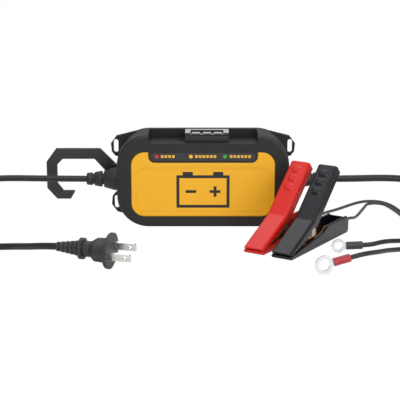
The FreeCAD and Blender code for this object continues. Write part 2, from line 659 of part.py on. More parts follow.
def cordExits():
    """Ringed strain reliefs: an inner flange, a neck in the wall, a flare, a ring and a tip."""
    stations = [
        (-size.wall - size.exitFlangeLong, size.exitFlange, size.exitFlangeLong),
        (-size.wall, size.exitNeck - size.runningGap / 2, size.wall),
        (size.flareLong, size.grooveRadius, size.groove),
        (size.flareLong + size.groove, size.ringRadius, size.ringLong),
        (size.flareLong + size.groove + size.ringLong, size.grooveRadius, size.groove),
        (size.flareLong + 2 * size.groove + size.ringLong, size.tipRadius, size.tipLong),
    ]
    for label, side, yaw in (("ac_strain_relief", -1, 180), ("dc_strain_relief", 1, 0)):
        pieces = []
        for index, (start, radius, length) in enumerate(stations):
            pieces.append(rod(f"Exit{side + 1}Part{index}", "X", start, 0, 0, radius, length))
        flare = doc.addObject("Part::Cone", f"Exit{side + 1}Flare")
        bind(flare, "Radius1", size.flareRadius)
        bind(flare, "Radius2", size.flareEnd)
        bind(flare, "Height", size.flareLong)
        place(flare, 0, 0, 0, *axisTurn["X"])
        relief = keep(label, fuse(f"Exit{side + 1}", flare, *pieces))
        place(relief, side * sideX, size.exitY, size.exitZ, yaw)


def hook():
    body = newBody("hook")
    sketch = newSketch(body, "HookOutline", hookBackY)
    reach = size.hookReach
    band = size.hookBand
    cutSize = size.hookCut
    x = size.hookPivotX
    z = size.hookPivotZ
    inner = cutSize * 0.5
    spots = [
        (-reach, size.hookRise - cutSize * 1.15), (-reach + cutSize * 0.85, size.hookRise),
        (-cutSize * 1.2, size.hookRise), (size.hookEye * 0.6, size.hookEye * 0.6),
        (-size.hookEye * 0.3, -size.hookEye * 0.6), (-band * 0.95, band * 0.35),
        (-cutSize * 1.2 - band * 0.55, size.hookRise - band), (-reach + band + inner, size.hookRise - band),
        (-reach + band, size.hookRise - band - inner),
        (-reach + band, -size.hookDrop + band * 0.8 + inner * 1.3),
        (-reach + band + inner, -size.hookDrop + band * 0.8),
        (-reach + band + inner + size.hookMouth * 0.85, -size.hookDrop + band * 0.8),
        (-reach + band + inner + size.hookMouth * 0.5, -size.hookDrop),
        (-reach + cutSize * 0.85, -size.hookDrop), (-reach, -size.hookDrop + cutSize * 0.95),
    ]
    addPolygon(sketch, [(x + spot[0], z + spot[1]) for spot in spots])
    pad(body, sketch, size.hookThick)
    rod("HookEye", "Y", x, hookFrontY, z, size.hookEye, size.hookThick, body)
    soften(body, "Fillet", size.hookGap * 3, alongY)
    soften(body, "Fillet", size.hookGap * 2, lambda edge: flatAtY(hookFrontY)(edge) or flatAtY(hookBackY)(edge))
    rod("HookBore", "Y", x, hookFrontY - 1, z, size.pinRadius + size.runningGap,
        size.hookThick + 2, body, cut=True)
    rod("HookCounterbore", "Y", x, hookBackY - size.pinHeadThick - size.hookGap, z,
        size.pinHead + size.hookGap, size.pinHeadThick + size.hookGap + 1, body, cut=True)
    headY = hookBackY - size.pinHeadThick - size.hookGap / 2
    shank = rod("PinShank", "Y", x, splitY, z, size.pinRadius, headY - splitY + size.pinHeadThick / 2)
    head = rod("PinHead", "Y", x, headY, z, size.pinHead, size.pinHeadThick)
    keep("hook_pin", fuse("HookPin", shank, head))


def screws():
    pieces = []
    for index, (x, z) in enumerate(screwSpots):
        shank = rod(f"Shank{index}", "Y", x, screwSeatY - size.screwLong, z, size.screwRadius, size.screwLong)
        head = rod(f"Head{index}", "Y", x, screwSeatY, z, size.screwHead, size.screwHeadLong)
        pieces.append(fuse(f"Screw{index}", shank, head))
    keep("housing_screws", group("HousingScrews", *pieces))
    pieces = []
    for index, (x, z) in enumerate(postSpots):
        shank = rod(f"BoardShank{index}", "Y", x, size.boardY, z, size.screwRadius, size.boardScrewLong)
        head = rod(f"BoardHead{index}", "Y", x, size.boardY - size.screwHeadLong, z, size.screwHead,
                   size.screwHeadLong)
        pieces.append(fuse(f"BoardScrew{index}", shank, head))
    keep("board_screws", group("BoardScrews", *pieces))


def board():
    half = size.boardWidth / 2
    plate = box("BoardPlate", (-half, half), (size.boardY, boardBackY),
                (size.boardLow, size.boardLow + boardHeight))
    holes = [rod(f"BoardHole{index}", "Y", x, size.boardY - 1, z, size.screwRadius + size.runningGap,
                 size.boardThick + 2) for index, (x, z) in enumerate(postSpots)]
    keep("circuit_board", cut("Board", plate, *holes))
    coreFront = size.boardY - size.coreDepth
    legHalf = size.coreLeg / 2
    core = box("CoreBlock", (size.coreX - size.coreWidth / 2, size.coreX + size.coreWidth / 2),
               (coreFront, size.boardY), (boardZ - size.coreHeight / 2, boardZ + size.coreHeight / 2))
    windows = []
    for name, x in (("Left", (size.coreX - size.coreWidth / 2 + size.coreSide, size.coreX - legHalf)),
                    ("Right", (size.coreX + legHalf, size.coreX + size.coreWidth / 2 - size.coreSide))):
        windows.append(box(f"Core{name}", x, (coreFront + size.coreYoke, size.boardY - size.coreYoke),
                           (boardZ - size.coreHeight, boardZ + size.coreHeight)))
    keep("transformer_core", cut("Core", core, *windows))
    gap = size.slideGap
    coil = box("CoilBlock", (size.coreX - size.coreWidth / 2 + size.coreSide + gap,
                             size.coreX + size.coreWidth / 2 - size.coreSide - gap),
               (coreFront + size.coreYoke + gap, size.boardY - size.coreYoke - gap),
               (boardZ - size.coilHeight / 2, boardZ + size.coilHeight / 2))
    bore = box("CoilBore", (size.coreX - legHalf, size.coreX + legHalf),
               (coreFront, size.boardY),
               (boardZ - size.coreHeight / 2, boardZ + size.coreHeight / 2))
    keep("transformer_winding", cut("Coil", coil, bore))
    cans = [rod(f"Can{index}", "Y", size.coreX + size.coreWidth / 2 + size.canRadius + 2 + x,
                size.boardY - size.canHeight, boardZ + z, size.canRadius, size.canHeight)
            for index, (x, z) in enumerate(((0, 11), (0, -3), (11, 4)))]
    keep("capacitors", group("Capacitors", *cans))
    sinkLow = boardZ - size.sinkHeight / 2
    sinkHigh = boardZ + size.sinkHeight / 2
    base = box("SinkBase", (size.sinkX - size.sinkWidth / 2, size.sinkX + size.sinkWidth / 2),
               (size.boardY - 3, size.boardY), (sinkLow, sinkHigh))
    fins = []
    for index in range(4):
        x = size.sinkX - size.sinkWidth / 2 + index * (size.sinkWidth - size.finThick) / 3
        fins.append(box(f"Fin{index}", (x, x + size.finThick), (size.boardY - size.sinkDepth, size.boardY - 2),
                        (sinkLow, sinkHigh)))
    keep("heat_sink", fuse("HeatSink", base, *fins))
    tube = rod("FuseTube", "X", size.fuseX - size.fuseLong / 2, size.boardY - size.fuseRadius - 0.4,
               size.fuseZ, size.fuseRadius, size.fuseLong)
    clips = [box(f"FuseClip{index}", (size.fuseX + x, size.fuseX + x + 3),
                 (size.boardY - 2 * size.fuseRadius, size.boardY),
                 (size.fuseZ - size.fuseRadius - 0.4, size.fuseZ + size.fuseRadius + 0.4))
             for index, x in enumerate((-size.fuseLong / 2, size.fuseLong / 2 - 3))]
    keep("board_fuse", fuse("BoardFuse", tube, *clips))
    lamps = [rod(f"{name.title()}Lamp", "Y", x, frontY + size.wall + size.overlayThick, lightZ,
                 size.lightFlange, size.boardY - frontY - size.wall - size.overlayThick)
             for name, x in lights.items()]
    keep("board_leds", group("BoardLeds", *lamps))


# Tubes: straight runs joined by tangent arcs, and coils on biarcs

def arcEdge(start, corner, end):
    """The circular arc from start to end whose two tangents meet at corner."""
    middle = (start + end) / 2
    chord = (end - start).Length / 2
    height = (corner - middle).Length
    if height < 1e-6 * chord:
        return Part.LineSegment(start, end).toShape()
    half = math.atan2(height, chord)
    through = middle + (corner - middle) * (math.tan(half / 2) / math.tan(half))
    return Part.Arc(start, through, end).toShape()


def biarc(start, startWay, end, endWay):
    """Two arcs that leave start along startWay and reach end along endWay."""
    across = end - start
    ways = startWay + endWay
    a = 2 * (1 - startWay.dot(endWay))
    b = 2 * across.dot(ways)
    c = -across.dot(across)
    reach = -c / b if a < 1e-9 else (-b + math.sqrt(b * b - 4 * a * c)) / (2 * a)
    first = start + startWay * reach
    second = end - endWay * reach
    joint = (first + second) / 2
    return [arcEdge(start, first, joint), arcEdge(joint, second, end)]


def sweep(edges, diameter):
    wire = Part.Wire(edges)
    start = edges[0].valueAt(edges[0].FirstParameter)
    way = edges[0].tangentAt(edges[0].FirstParameter)
    ring = Part.Wire(Part.makeCircle(diameter / 2, start, way))
    solid = wire.makePipeShell([ring], True, False)
    expected = math.pi * diameter ** 2 / 4 * wire.Length
    return solid, wire.Length, solid.Volume / expected


def routeEdges(points, name):
    """Straight runs with arcs as large as the runs allow; prints the tightest radius."""
    edges = []
    radii = []
    last = points[0]
    for before, corner, after in zip(points, points[1:], points[2:]):
        wayIn = (corner - before).normalize()
        wayOut = (after - corner).normalize()
        turn = wayIn.getAngle(wayOut)
        setback = 0.45 * min((corner - before).Length, (after - corner).Length)
        radii.append(setback / math.tan(turn / 2))
        start = corner - wayIn * setback
        end = corner + wayOut * setback
        edges.append(Part.LineSegment(last, start).toShape())
        edges.append(arcEdge(start, corner, end))
        last = end
    edges.append(Part.LineSegment(last, points[-1]).toShape())
    print(f"{name}: least arc radius {min(radii):.1f}, radii {[round(radius) for radius in radii]}")
    return edges


def solidNode(label, shape):
    feature = doc.addObject("Part::Feature", "".join(part.title() for part in label.split("_")))
    feature.Shape = shape
    feature.Placement = Placement()
    return keep(label, feature)


lengths = {}


def tube(label, points, diameter):
    route = [Vector(*[float(value) for value in point]) for point in points]
    solid, length, ratio = sweep(routeEdges(route, label), float(diameter))
    lengths[label] = length
    print(f"{label}: length {length:.1f}, volume over section by length {ratio:.4f}")
    return solidNode(label, solid)


def coilPath(centre, middleRadius, pitch, turns, startAngle, spin, low, lift):
    """A spiral in on the lower layer, half a turn of climb, and a spiral out on the upper one."""
    layer = (turns - 0.5) / 2
    outer = middleRadius + layer * pitch / 2
    inner = middleRadius - layer * pitch / 2

    def spot(turn):
        if turn < layer:
            radius = outer + (inner - outer) * turn / layer
            height = low
        elif turn < layer + 0.5:
            share = (turn - layer) / 0.5
            radius = inner - pitch / 4 * math.sin(math.pi * share)
            height = low + lift * (3 * share ** 2 - 2 * share ** 3)
        else:
            radius = inner + (outer - inner) * (turn - layer - 0.5) / layer
            height = low + lift
        angle = math.radians(startAngle) + spin * 2 * math.pi * turn
        return Vector(centre[0] + radius * math.cos(angle), centre[1] + radius * math.sin(angle), height)

    return spot


def coil(label, spot, centre, turns, diameter):
    """One unbroken tube on biarcs of a quarter turn, with its least gap measured and printed."""
    steps = math.ceil(turns * 4)
    marks = [turns * index / steps for index in range(steps + 1)]
    step = 0.01

    def way(mark):
        return (spot(min(mark + step, turns)) - spot(max(mark - step, 0))).normalize()

    edges = []
    ways = [way(mark) for mark in marks]
    for index, mark in ((0, marks[0]), (-1, marks[-1])):
        flat = spot(mark) - Vector(centre[0], centre[1], spot(mark).z)
        side = Vector(-flat.y, flat.x, 0).normalize()
        ways[index] = side if side.dot(ways[index]) > 0 else side * -1
    for index in range(steps):
        edges += biarc(spot(marks[index]), ways[index], spot(marks[index + 1]), ways[index + 1])
    solid, length, ratio = sweep(edges, diameter)
    samples = [edge.valueAt(edge.FirstParameter + (edge.LastParameter - edge.FirstParameter) * share)
               for edge in edges for share in (0, 0.25, 0.5, 0.75)]
    skip = math.ceil(len(samples) / turns / 2)
    gap = min((samples[a] - samples[b]).Length for a in range(len(samples))
              for b in range(a + skip, len(samples))) - diameter
    lengths[label] = length
    print(f"{label}: length {length:.1f}, volume ratio {ratio:.4f}, least gap {gap:.2f}")
    return solidNode(label, solid)


def tie(label, centre, middleRadius, pitch, turns, angle, diameter, lift):
    """A strap round the coil's bundle, square to the turns."""
    layer = (turns - 0.5) / 2
    gap = float(size.tieGap)
    thick = float(size.tieThick)
    inner = middleRadius - layer * pitch / 2 - diameter / 2 - gap
    outer = middleRadius + layer * pitch / 2 + diameter / 2 + gap
    top = thick + diameter + lift + gap + 0.1
    width = float(size.tieWidth)
    strap = Part.makeBox(outer - inner + 2 * thick, width, top + thick, Vector(inner - thick, -width / 2, 0))
    room = Part.makeBox(outer - inner, width + 2, top - thick, Vector(inner, -width / 2 - 1, thick))
    corners = [edge for edge in strap.Edges if edge.BoundBox.YLength > width - 0.01]
    strap = strap.makeFillet(thick * 0.9, corners).cut(room)
    feature = solidNode(label, strap)
    feature.Placement = Placement(Vector(centre[0], centre[1], 0), Rotation(Vector(0, 0, 1), angle))


def cords():
    mains = float(size.mainsDiameter)
    output = float(size.outputDiameter)
    exitEnd = size.flareLong + 2 * size.groove + size.ringLong + size.tipLong
    leftEnd = (-sideX - exitEnd, size.exitY, size.exitZ)
    rightEnd = (sideX + exitEnd, size.exitY, size.exitZ)
    tieLift = float(size.tieThick) + 0.1
    # mains cord
    coilTurns = 7.25
    centre = (float(size.mainsCoilX), float(size.mainsCoilY))
    pitch = float(size.mainsPitch)
    low = mains / 2 + tieLift
    spot = coilPath(centre, float(size.mainsCoilRadius), pitch, coilTurns, 180, 1, low, pitch)
    coil("ac_cord_coil", spot, centre, coilTurns, mains)
    start = spot(0)
    tube("ac_cord_lead", [leftEnd, (-126, -3.2, 36.2), (-162, -3.6, 36.9), (-191, -4.4, 34.2),
                          (-215, -7, 26), (-233, -14, 16.5), (-244, -26, 8.8), (start.x, -40, low + 0.6),
                          start], mains)
    end = spot(coilTurns)
    plugTail = (size.plugX, size.plugY, size.plugAxisZ)
    tube("ac_cord_tail", [end, (-197, end.y, end.z), (-184, -92, 6.6), (-171, -87, 3), (-158, -82.8, 2.5),
                          (-145.5, -84.5, 3.2), (-135.5, -93, 5.8), (-127, -101.9, 8.3),
                          (-119.5, -109, 10.6), (-112, -113.5, 12), plugTail], mains)
    tie("ac_cord_tie", centre, float(size.mainsCoilRadius), pitch, coilTurns, 225, mains, pitch)
    # low-voltage cord
    coilTurns = 5.5
    centre = (float(size.outputCoilX), float(size.outputCoilY))
    pitch = float(size.outputPitch)
    low = output / 2 + tieLift
    spot = coilPath(centre, float(size.outputCoilRadius), pitch, coilTurns, 180, -1, low, pitch)
    coil("dc_cord_coil", spot, centre, coilTurns, output)
    start = spot(0)
    tube("dc_cord_lead", [rightEnd, (118, -3, 36.1), (146, -2.8, 36.8), (167, -0.5, 35),
                          (178.5, 5.5, 28.5), (184, 14, 20.5), (start.x, 23, 13), (start.x, 32, 7.2),
                          (start.x, 40, low + 0.3), start], output)
    end = spot(coilTurns)
    plugZ = size.plugletHigh / 2
    tube("dc_cord_tail", [end, (end.x, 36, end.z), (259.5, 22, 7), (256, 6, 4.8), (247, -7.5, 4.5),
                          (233.5, -14.5, 4.5), (size.outputPlugX, size.outputPlugY, plugZ)], output)
    tie("dc_cord_tie", centre, float(size.outputCoilRadius), pitch, coilTurns, 90, output, pitch)


def clampFrame(colour):
    noseX, noseY = {"red": (size.redNoseX, size.redNoseY), "black": (size.blackNoseX, size.blackNoseY)}[colour]
    return Placement(Vector(float(noseX), float(noseY), 0), Rotation(Vector(0, 0, 1), float(size.clampYaw)))


def upperOutline():
    """Side profile of the upper lever, in the clamp's own frame: x from nose to handle, z up."""
    firstSlope = math.radians(float(size.firstSlope))
    secondSlope = math.radians(float(size.secondSlope))
    depth = float(size.leverDepth)
    noseTop = Vector(0, 0, float(size.noseHigh))
    bend = noseTop + Vector(math.cos(firstSlope), 0, math.sin(firstSlope)) * float(size.firstRun)
    end = bend + Vector(math.cos(secondSlope), 0, math.sin(secondSlope)) * float(size.secondRun)
    innerEnd = end + Vector(math.sin(secondSlope), 0, -math.cos(secondSlope)) * depth
    halfSlope = (firstSlope + secondSlope) / 2
    reach = depth / math.cos((secondSlope - firstSlope) / 2)
    innerBend = bend + Vector(math.sin(halfSlope), 0, -math.cos(halfSlope)) * reach
    innerNose = noseTop + Vector(math.sin(firstSlope), 0, -math.cos(firstSlope)) * float(size.noseDepth)
    chin = Vector(-1.5, 0, innerNose.z)
    tip = Vector(-3.5, 0, innerNose.z + 1)
    brow = Vector(-3, 0, noseTop.z - 1.4)
    return [tip, brow, noseTop, bend, end, innerEnd, innerBend, innerNose, chin]


def lowerOutline():
    long = float(size.clampLong)
    rear = float(size.lowerRearHigh)
    nose = float(size.lowerNoseHigh)
    return [Vector(-2.5, 0, nose / 2), Vector(-1, 0, 0), Vector(long - 1, 0, 0), Vector(long, 0, 2),
            Vector(long, 0, rear - 2.5), Vector(long - 3, 0, rear), Vector(long - 35, 0, rear),
            Vector(long - 42, 0, float(size.lowerMidHigh)), Vector(0, 0, nose), Vector(-2, 0, nose)]


def slabOf(points, inset, halfWidth, stretch=None):
    """The outline drawn in by inset and made into a slab; stretch opens it along that way."""
    face = Part.Face(Part.makePolygon(points + [points[0]]))
    if inset:
        face = face.makeOffset2D(-inset, 2)
    slab = face.extrude(Vector(0, 2 * halfWidth, 0))
    slab.translate(Vector(0, -halfWidth, 0))
    if stretch is not None:
        steps = math.ceil(stretch.Length / 1.5)
        copies = [slab.copy() for _ in range(steps)]
        for index, item in enumerate(copies, start=1):
            item.translate(stretch * (index / steps))
        slab = slab.fuse(copies)
    return slab


def rodY(x, z, radius, low, high):
    return Part.makeCylinder(radius, high - low, Vector(x, low, z), Vector(0, 1, 0))


def clamp(colour):
    """One spring clamp, built along +X from its nose and then set down in its place."""
    frame = clampFrame(colour)
    pieces = {"upper_cover": upperCover(), "lower_cover": lowerCover(), "upper_jaw": upperJaw(),
              "lower_jaw": lowerJaw(), "pivot_pin": rivetPin(), "spring": torsionSpring()}
    for name, shape in pieces.items():
        solidNode(f"{colour}_{name}", shape).Placement = frame


def openingWay():
    """The way from the lever's outer face towards its open side."""
    lean = math.radians(float(size.openingLean))
    return Vector(math.sin(lean), 0, -math.cos(lean))


def upperCover():
    outline = upperOutline()
    wall = float(size.coverWall)
    half = float(size.clampWidth) / 2
    shell = slabOf(outline, 0, half)
    ridge = [edge for edge in shell.Edges if edge.BoundBox.YLength < 0.01 and isRidge(edge, outline)]
    shell = shell.makeFillet(float(size.coverRound), ridge)
    shell = shell.cut(slabOf(outline, wall, half - wall, openingWay() * (2 * wall + 1)))
    relief = float(size.rivetHead + size.rivetRelief)
    shell = shell.cut(rodY(float(size.clampPivotX), float(size.clampPivotZ), relief, -half - 1, half + 1))
    return shell.fuse(gripPads(outline)).removeSplitter()


def lowerCover():
    outline = lowerOutline()
    wall = float(size.coverWall)
    half = float(size.clampWidth) / 2
    room = slabOf(outline, wall, half - wall, Vector(0, 0, float(size.lowerRearHigh)))
    start = Vector(float(size.clampLong) - wall / 2, 0, float(size.bootZ))
    boot = Part.makeCone(float(size.bootRadius), float(size.bootTip), float(size.bootLong) + wall / 2,
                         start, Vector(1, 0, 0))
    return slabOf(outline, 0, half).cut(room).fuse(boot).removeSplitter()


def jawHalf(layers):
    """Half the width of a jaw that lies inside this many layers of steel."""
    inset = size.coverWall + size.jawGap + layers * (size.jawWall + size.jawGap)
    return float(size.clampWidth / 2 - inset)


def eyes(half, low, high):
    """Two upright tabs that carry the rivet."""
    long = float(size.eyeLong)
    metal = float(size.jawWall)
    left = float(size.clampPivotX) - long / 2
    return [Part.makeBox(long, metal, high - low, Vector(left, y, low)) for y in (-half, half - metal)]


def upperJaw():
    outline = upperOutline()
    wall = float(size.coverWall)
    metal = float(size.jawWall)
    half = jawHalf(0)
    pivotX = float(size.clampPivotX)
    pivotZ = float(size.clampPivotZ)
    hole = float(size.rivetRadius + size.runningGap)
    room = slabOf(outline, wall + metal, half - metal, openingWay() * 8)
    tail = Part.makeBox(60, 4 * half, 90, Vector(pivotX + float(size.upperJawTail), -2 * half, 0))
    jaw = slabOf(outline, wall, half).cut(room).cut(tail)
    jaw = jaw.fuse(eyes(half, pivotZ - 4, pivotZ + 4)).cut(rodY(pivotX, pivotZ, hole, -half - 1, half + 1))
    bend, nose = outline[6:8]
    for index in range(5):
        x = float(size.toothStart) + index * float(size.toothPitch)
        edge = nose.z + (x - nose.x) * (bend.z - nose.z) / (bend.x - nose.x)
        jaw = jaw.cut(rodY(x, edge + wall - 0.2, float(size.toothRadius), -half - 1, half + 1))
    return biggest(jaw.removeSplitter())


def lowerJaw():
    outline = lowerOutline()
    wall = float(size.coverWall)
    metal = float(size.jawWall)
    half = jawHalf(1)
    pivotX = float(size.clampPivotX)
    pivotZ = float(size.clampPivotZ)
    room = slabOf(outline, wall + metal, half - metal, Vector(0, 0, 20))
    tail = Part.makeBox(60, 4 * half, 60, Vector(pivotX + float(size.lowerJawTail), -2 * half, 0))
    jaw = slabOf(outline, wall, half).cut(room).cut(tail)
    jaw = jaw.fuse(eyes(half, 4, pivotZ + 3))
    jaw = jaw.cut(rodY(pivotX, pivotZ, float(size.rivetRadius), -half - 1, half + 1))
    return biggest(jaw.removeSplitter())


def rivetPin():
    """The rivet with its two heads."""
    pivotX = float(size.clampPivotX)
    pivotZ = float(size.clampPivotZ)
    head = jawHalf(0) + float(size.runningGap)
    thick = float(size.rivetHeadThick)
    pin = rodY(pivotX, pivotZ, float(size.rivetRadius), -head, head)
    heads = [rodY(pivotX, pivotZ, float(size.rivetHead), low, low + thick) for low in (head, -head - thick)]
    return pin.fuse(heads).removeSplitter()


def isRidge(edge, outline):
    """True for the long edges of the outer face, on either side of the cover."""
    spans = [(outline[1], outline[2]), (outline[2], outline[3]), (outline[3], outline[4])]
    for first, second in spans:
        middle = (first + second) / 2
        flat = Vector(edge.CenterOfMass.x, 0, edge.CenterOfMass.z)
        if (flat - middle).Length < 0.5:
            return True
    return False


def gripPads(outline):
    """Three low rounded bars across the handle for the thumb."""
    bars = []
    slope = math.radians(float(size.secondSlope))
    along = Vector(math.cos(slope), 0, math.sin(slope))
    outward = Vector(-math.sin(slope), 0, math.cos(slope))
    long = float(size.padLong)
    wide = float(size.padWide)
    root = float(size.coverWall) / 3
    for index in range(1, 4):
        bar = Part.makeBox(long, wide, float(size.padHigh) + root, Vector(-long / 2, -wide / 2, -root))
        upright = [edge for edge in bar.Edges if edge.BoundBox.ZLength > root]
        bar = bar.makeFillet(long * 0.4, upright)
        centre = outline[4] - along * (float(size.padPitch) * index)
        bar.Placement = Placement(centre, Rotation(along, Vector(0, 1, 0), outward, "XYZ"))
        bars.append(bar)
    return bars


def biggest(shape):
    return max(shape.Solids, key=lambda solid: solid.Volume)


def torsionSpring():
    """Turns round the rivet, with one leg to each jaw."""
    pivotX = float(size.clampPivotX)
    pivotZ = float(size.clampPivotZ)
    radius = float(size.springRadius)
    pitch = float(size.springPitch)
    wire = float(size.springWire)
    startAngle = math.radians(136)
    turns = 2 + 94 / 360
    half = turns * pitch / 2

    def spot(turn):
        angle = startAngle + 2 * math.pi * turn
        return Vector(pivotX + radius * math.cos(angle), -half + pitch * turn,
                      pivotZ + radius * math.sin(angle))

    def way(turn):
        angle = startAngle + 2 * math.pi * turn
        rise = pitch / (2 * math.pi * radius)
        return Vector(-math.sin(angle), rise, math.cos(angle)).normalize()

    steps = math.ceil(turns * 4)
    marks = [turns * index / steps for index in range(steps + 1)]
    upperEnd = spot(0) - way(0) * float(size.springLegUp)
    lowerEnd = spot(turns) + way(turns) * float(size.springLegDown)
    edges = [Part.LineSegment(upperEnd, spot(0)).toShape()]
    for first, second in zip(marks, marks[1:]):
        edges += biarc(spot(first), way(first), spot(second), way(second))
    edges.append(Part.LineSegment(spot(turns), lowerEnd).toShape())
    solid, length, ratio = sweep(edges, wire)
    print(f"clamp spring: length {length:.1f}, volume ratio {ratio:.4f}, gap {pitch - wire:.2f}")
    return solid


def clampLeads():
    diameter = float(size.clampLeadDiameter)
    plugZ = float(size.plugletHigh) / 2
    join = float(size.outputPlugX) - 2 * float(size.plugletLong)
    y = float(size.outputPlugY)
    starts = {}
    for colour in ("red", "black"):
        starts[colour] = [clampFrame(colour).multVec(Vector(float(size.clampLong + size.bootLong) + reach, 0,
                                                            float(size.bootZ))) for reach in (0, 7)]
    red = starts["red"] + [
        (102, 17, 3.2), (112, 32, 1.5), (124, 47.5, 1.3), (133, 57.5, 1.3),
        (141.5, 62.3, 1.3), (150.5, 61.3, 1.3), (157.5, 53, 1.3), (161.8, 40, 1.3), (164.5, 24, 1.3),
        (166.5, 7, 1.3), (168.5, -4, 1.5), (171.3, -9.5, 2.6), (176, y + 2.3, plugZ - 0.4),
        (join, y + 2.3, plugZ)]
    black = starts["black"] + [
        (122.3, -1.5, 3.2), (127, 13, 1.5), (132.5, 30, 1.3), (137.2, 43.5, 1.3), (139.4, 51, 1.3),
        (144.2, 54.3, 1.3), (150, 54.1, 1.3), (154.5, 50.5, 1.3), (156.6, 43.5, 1.3), (158.9, 34, 1.3),
        (161.3, 22, 1.3), (163.4, 7, 1.3), (165, -6, 1.4), (168.3, -13.2, 2.4),
        (174, y - 2.3, plugZ - 0.4), (join, y - 2.3, plugZ)]
    tube("clamp_lead_red", red, diameter)
    tube("clamp_lead_black", black, diameter)


def pluglet(label, x, y, low):
    """A two-pole quick connector: a rounded block."""
    length = size.plugletLong
    case = box(f"{label.title()}Case", (x - length, x), (y - size.plugletWide / 2, y + size.plugletWide / 2),
               (low, low + size.plugletHigh))
    doc.recompute()
    edges = [index for index, edge in enumerate(case.Shape.Edges, start=1) if edge.BoundBox.XLength > 1]
    smooth = doc.addObject("Part::Fillet", f"{label.title()}Round")
    smooth.Base = case
    curve = float(size.plugletHigh) * 0.25
    smooth.Edges = [(index, curve, curve) for index in edges]
    return keep(label, smooth)


def connectors():
    pluglet("charger_connector", size.outputPlugX, size.outputPlugY, 0)
    pluglet("clamp_connector", size.outputPlugX - size.plugletLong, size.outputPlugY, 0)
    pluglet("ring_connector", size.ringPlugX, size.ringPlugY, size.capWall)
    wall = size.capWall
    gap = size.runningGap
    x = size.ringPlugX - size.plugletLong
    outer = box("CapOuter", (x - wall, x + size.capLong),
                (size.ringPlugY - size.plugletWide / 2 - wall, size.ringPlugY + size.plugletWide / 2 + wall),
                (0, size.plugletHigh + 2 * wall))
    room = box("CapRoom", (x, x + size.capLong + 1),
               (size.ringPlugY - size.plugletWide / 2 - gap, size.ringPlugY + size.plugletWide / 2 + gap),
               (wall - gap, wall + size.plugletHigh + gap))
    keep("connector_cap", cut("Cap", outer, room))


def ringFrame(x, y, radius, yaw, tilt):
    return Placement(Vector(float(x), float(y), float(radius)),
                     Rotation(float(yaw), float(tilt), 0))


def rings():
    frames = {}
    for name, x, y, radius, hole, yaw, tilt in (
            ("small", size.smallX, size.smallY, size.smallRing, size.smallHole, size.smallYaw, size.smallTilt),
            ("large", size.largeX, size.largeY, size.largeRing, size.largeHole, size.largeYaw, size.largeTilt)):
        frame = ringFrame(x, y, radius, yaw, tilt)
        outer = float(radius)
        thick = float(size.ringThick)
        barrel = float(size.barrelRadius)
        start = outer + 1
        end = start + float(size.sleeveLong)
        disc = rodY(0, 0, outer, -thick / 2, thick / 2)
        tongue = Part.makeBox(start + 2, thick, 2 * barrel, Vector(0, -thick / 2, -barrel))
        crimp = Part.makeCylinder(barrel, end - start - 1, Vector(start, 0, 0), Vector(1, 0, 0))
        shape = disc.fuse([tongue, crimp]).cut(rodY(0, 0, float(hole), -thick, thick)).removeSplitter()
        solidNode(f"ring_terminal_{name}", shape).Placement = frame
        sleeve = Part.makeCylinder(float(size.sleeveRadius), end - start + 0.5, Vector(start - 0.5, 0, 0),
                                   Vector(1, 0, 0))
        sleeve = sleeve.cut(shape)
        colour = {"small": "black", "large": "red"}[name]
        solidNode(f"ring_sleeve_{colour}", biggest(sleeve)).Placement = frame
        frames[colour] = frame.multVec(Vector(end, 0, 0))
    diameter = float(size.ringLeadDiameter)
    plugZ = float(size.plugletHigh) / 2 + float(size.capWall)
    x = float(size.ringPlugX)
    y = float(size.ringPlugY)
    tube("ring_lead_black", [frames["black"], (124.3, -86.66, 5.25), (132.2, -81.5, 5.8),
                             (140.5, -73.5, 4.4), (149.5, -66.8, 2.6), (163, -62.5, 1.8), (180, -64, 1.8),
                             (198, -68, 1.8),
                             (216, -69.5, 1.8), (232, -64, 1.8), (241, -52.5, 2), (238.5, -41, 3),
                             (229, -34.9, 5), (219, y - 2.5, plugZ), (x, y - 2.5, plugZ)], diameter)
    holderZ = float(size.holderRadius)
    lead = tube("ring_lead_red", [frames["red"], (109.6, -135.23, 11.95), (117.5, -129.5, 11.6),
                                  (125.5, -119.5, 9.5), (132.5, -107, 6.8), (140.5, -96, 4.1),
                                  (150.5, -87, 2.2), (162, -82.5, 1.8),
                                  (176, -82, 3.2), (190, -84.5, holderZ), (224, -85, holderZ),
                                  (237, -79.5, 3.6), (248, -68, 2.4), (253.5, -53, 2.2), (251, -39.5, 2.6),
                                  (242, -31, 4), (229, y + 2.5, plugZ - 0.3), (219, y + 2.5, plugZ),
                                  (x, y + 2.5, plugZ)], diameter)
    way = Vector(34, -0.5, 0).normalize()
    middle = Vector(207, -84.75, holderZ)
    long = float(size.holderLong)
    holder = Part.makeCylinder(holderZ, long, middle - way * (long / 2), way)
    collar = [edge for edge in holder.Edges if edge.Closed]
    holder = holder.makeFillet(holderZ * 0.3, collar).cut(lead.Shape)
    solidNode("fuse_holder", biggest(holder))


def internalLeads():
    inner = float(sideX) - float(size.wall) - float(size.exitFlangeLong)
    radius = float(size.wireRadius)
    y = float(size.exitY)
    z = float(size.exitZ)
    boardFront = float(size.boardY)
    solids = []
    for side in (-1, 1):
        for level in (-1, 1):
            points = [(side * inner, y, z + level * 2.4), (side * (inner - 7), y, z + level * 3),
                      (side * (inner - 14), y - 1, z + level * 6), (side * (inner - 20), y - 1.5, z + level * 11),
                      (side * (inner - 22.5), y + 2, z + level * 15),
                      (side * (inner - 23), boardFront, z + level * 16)]
            route = [Vector(*point) for point in points]
            solid = sweep(routeEdges(route, "internal lead"), 2 * radius)[0]
            solids.append(solid)
    solidNode("internal_leads", Part.makeCompound(solids))


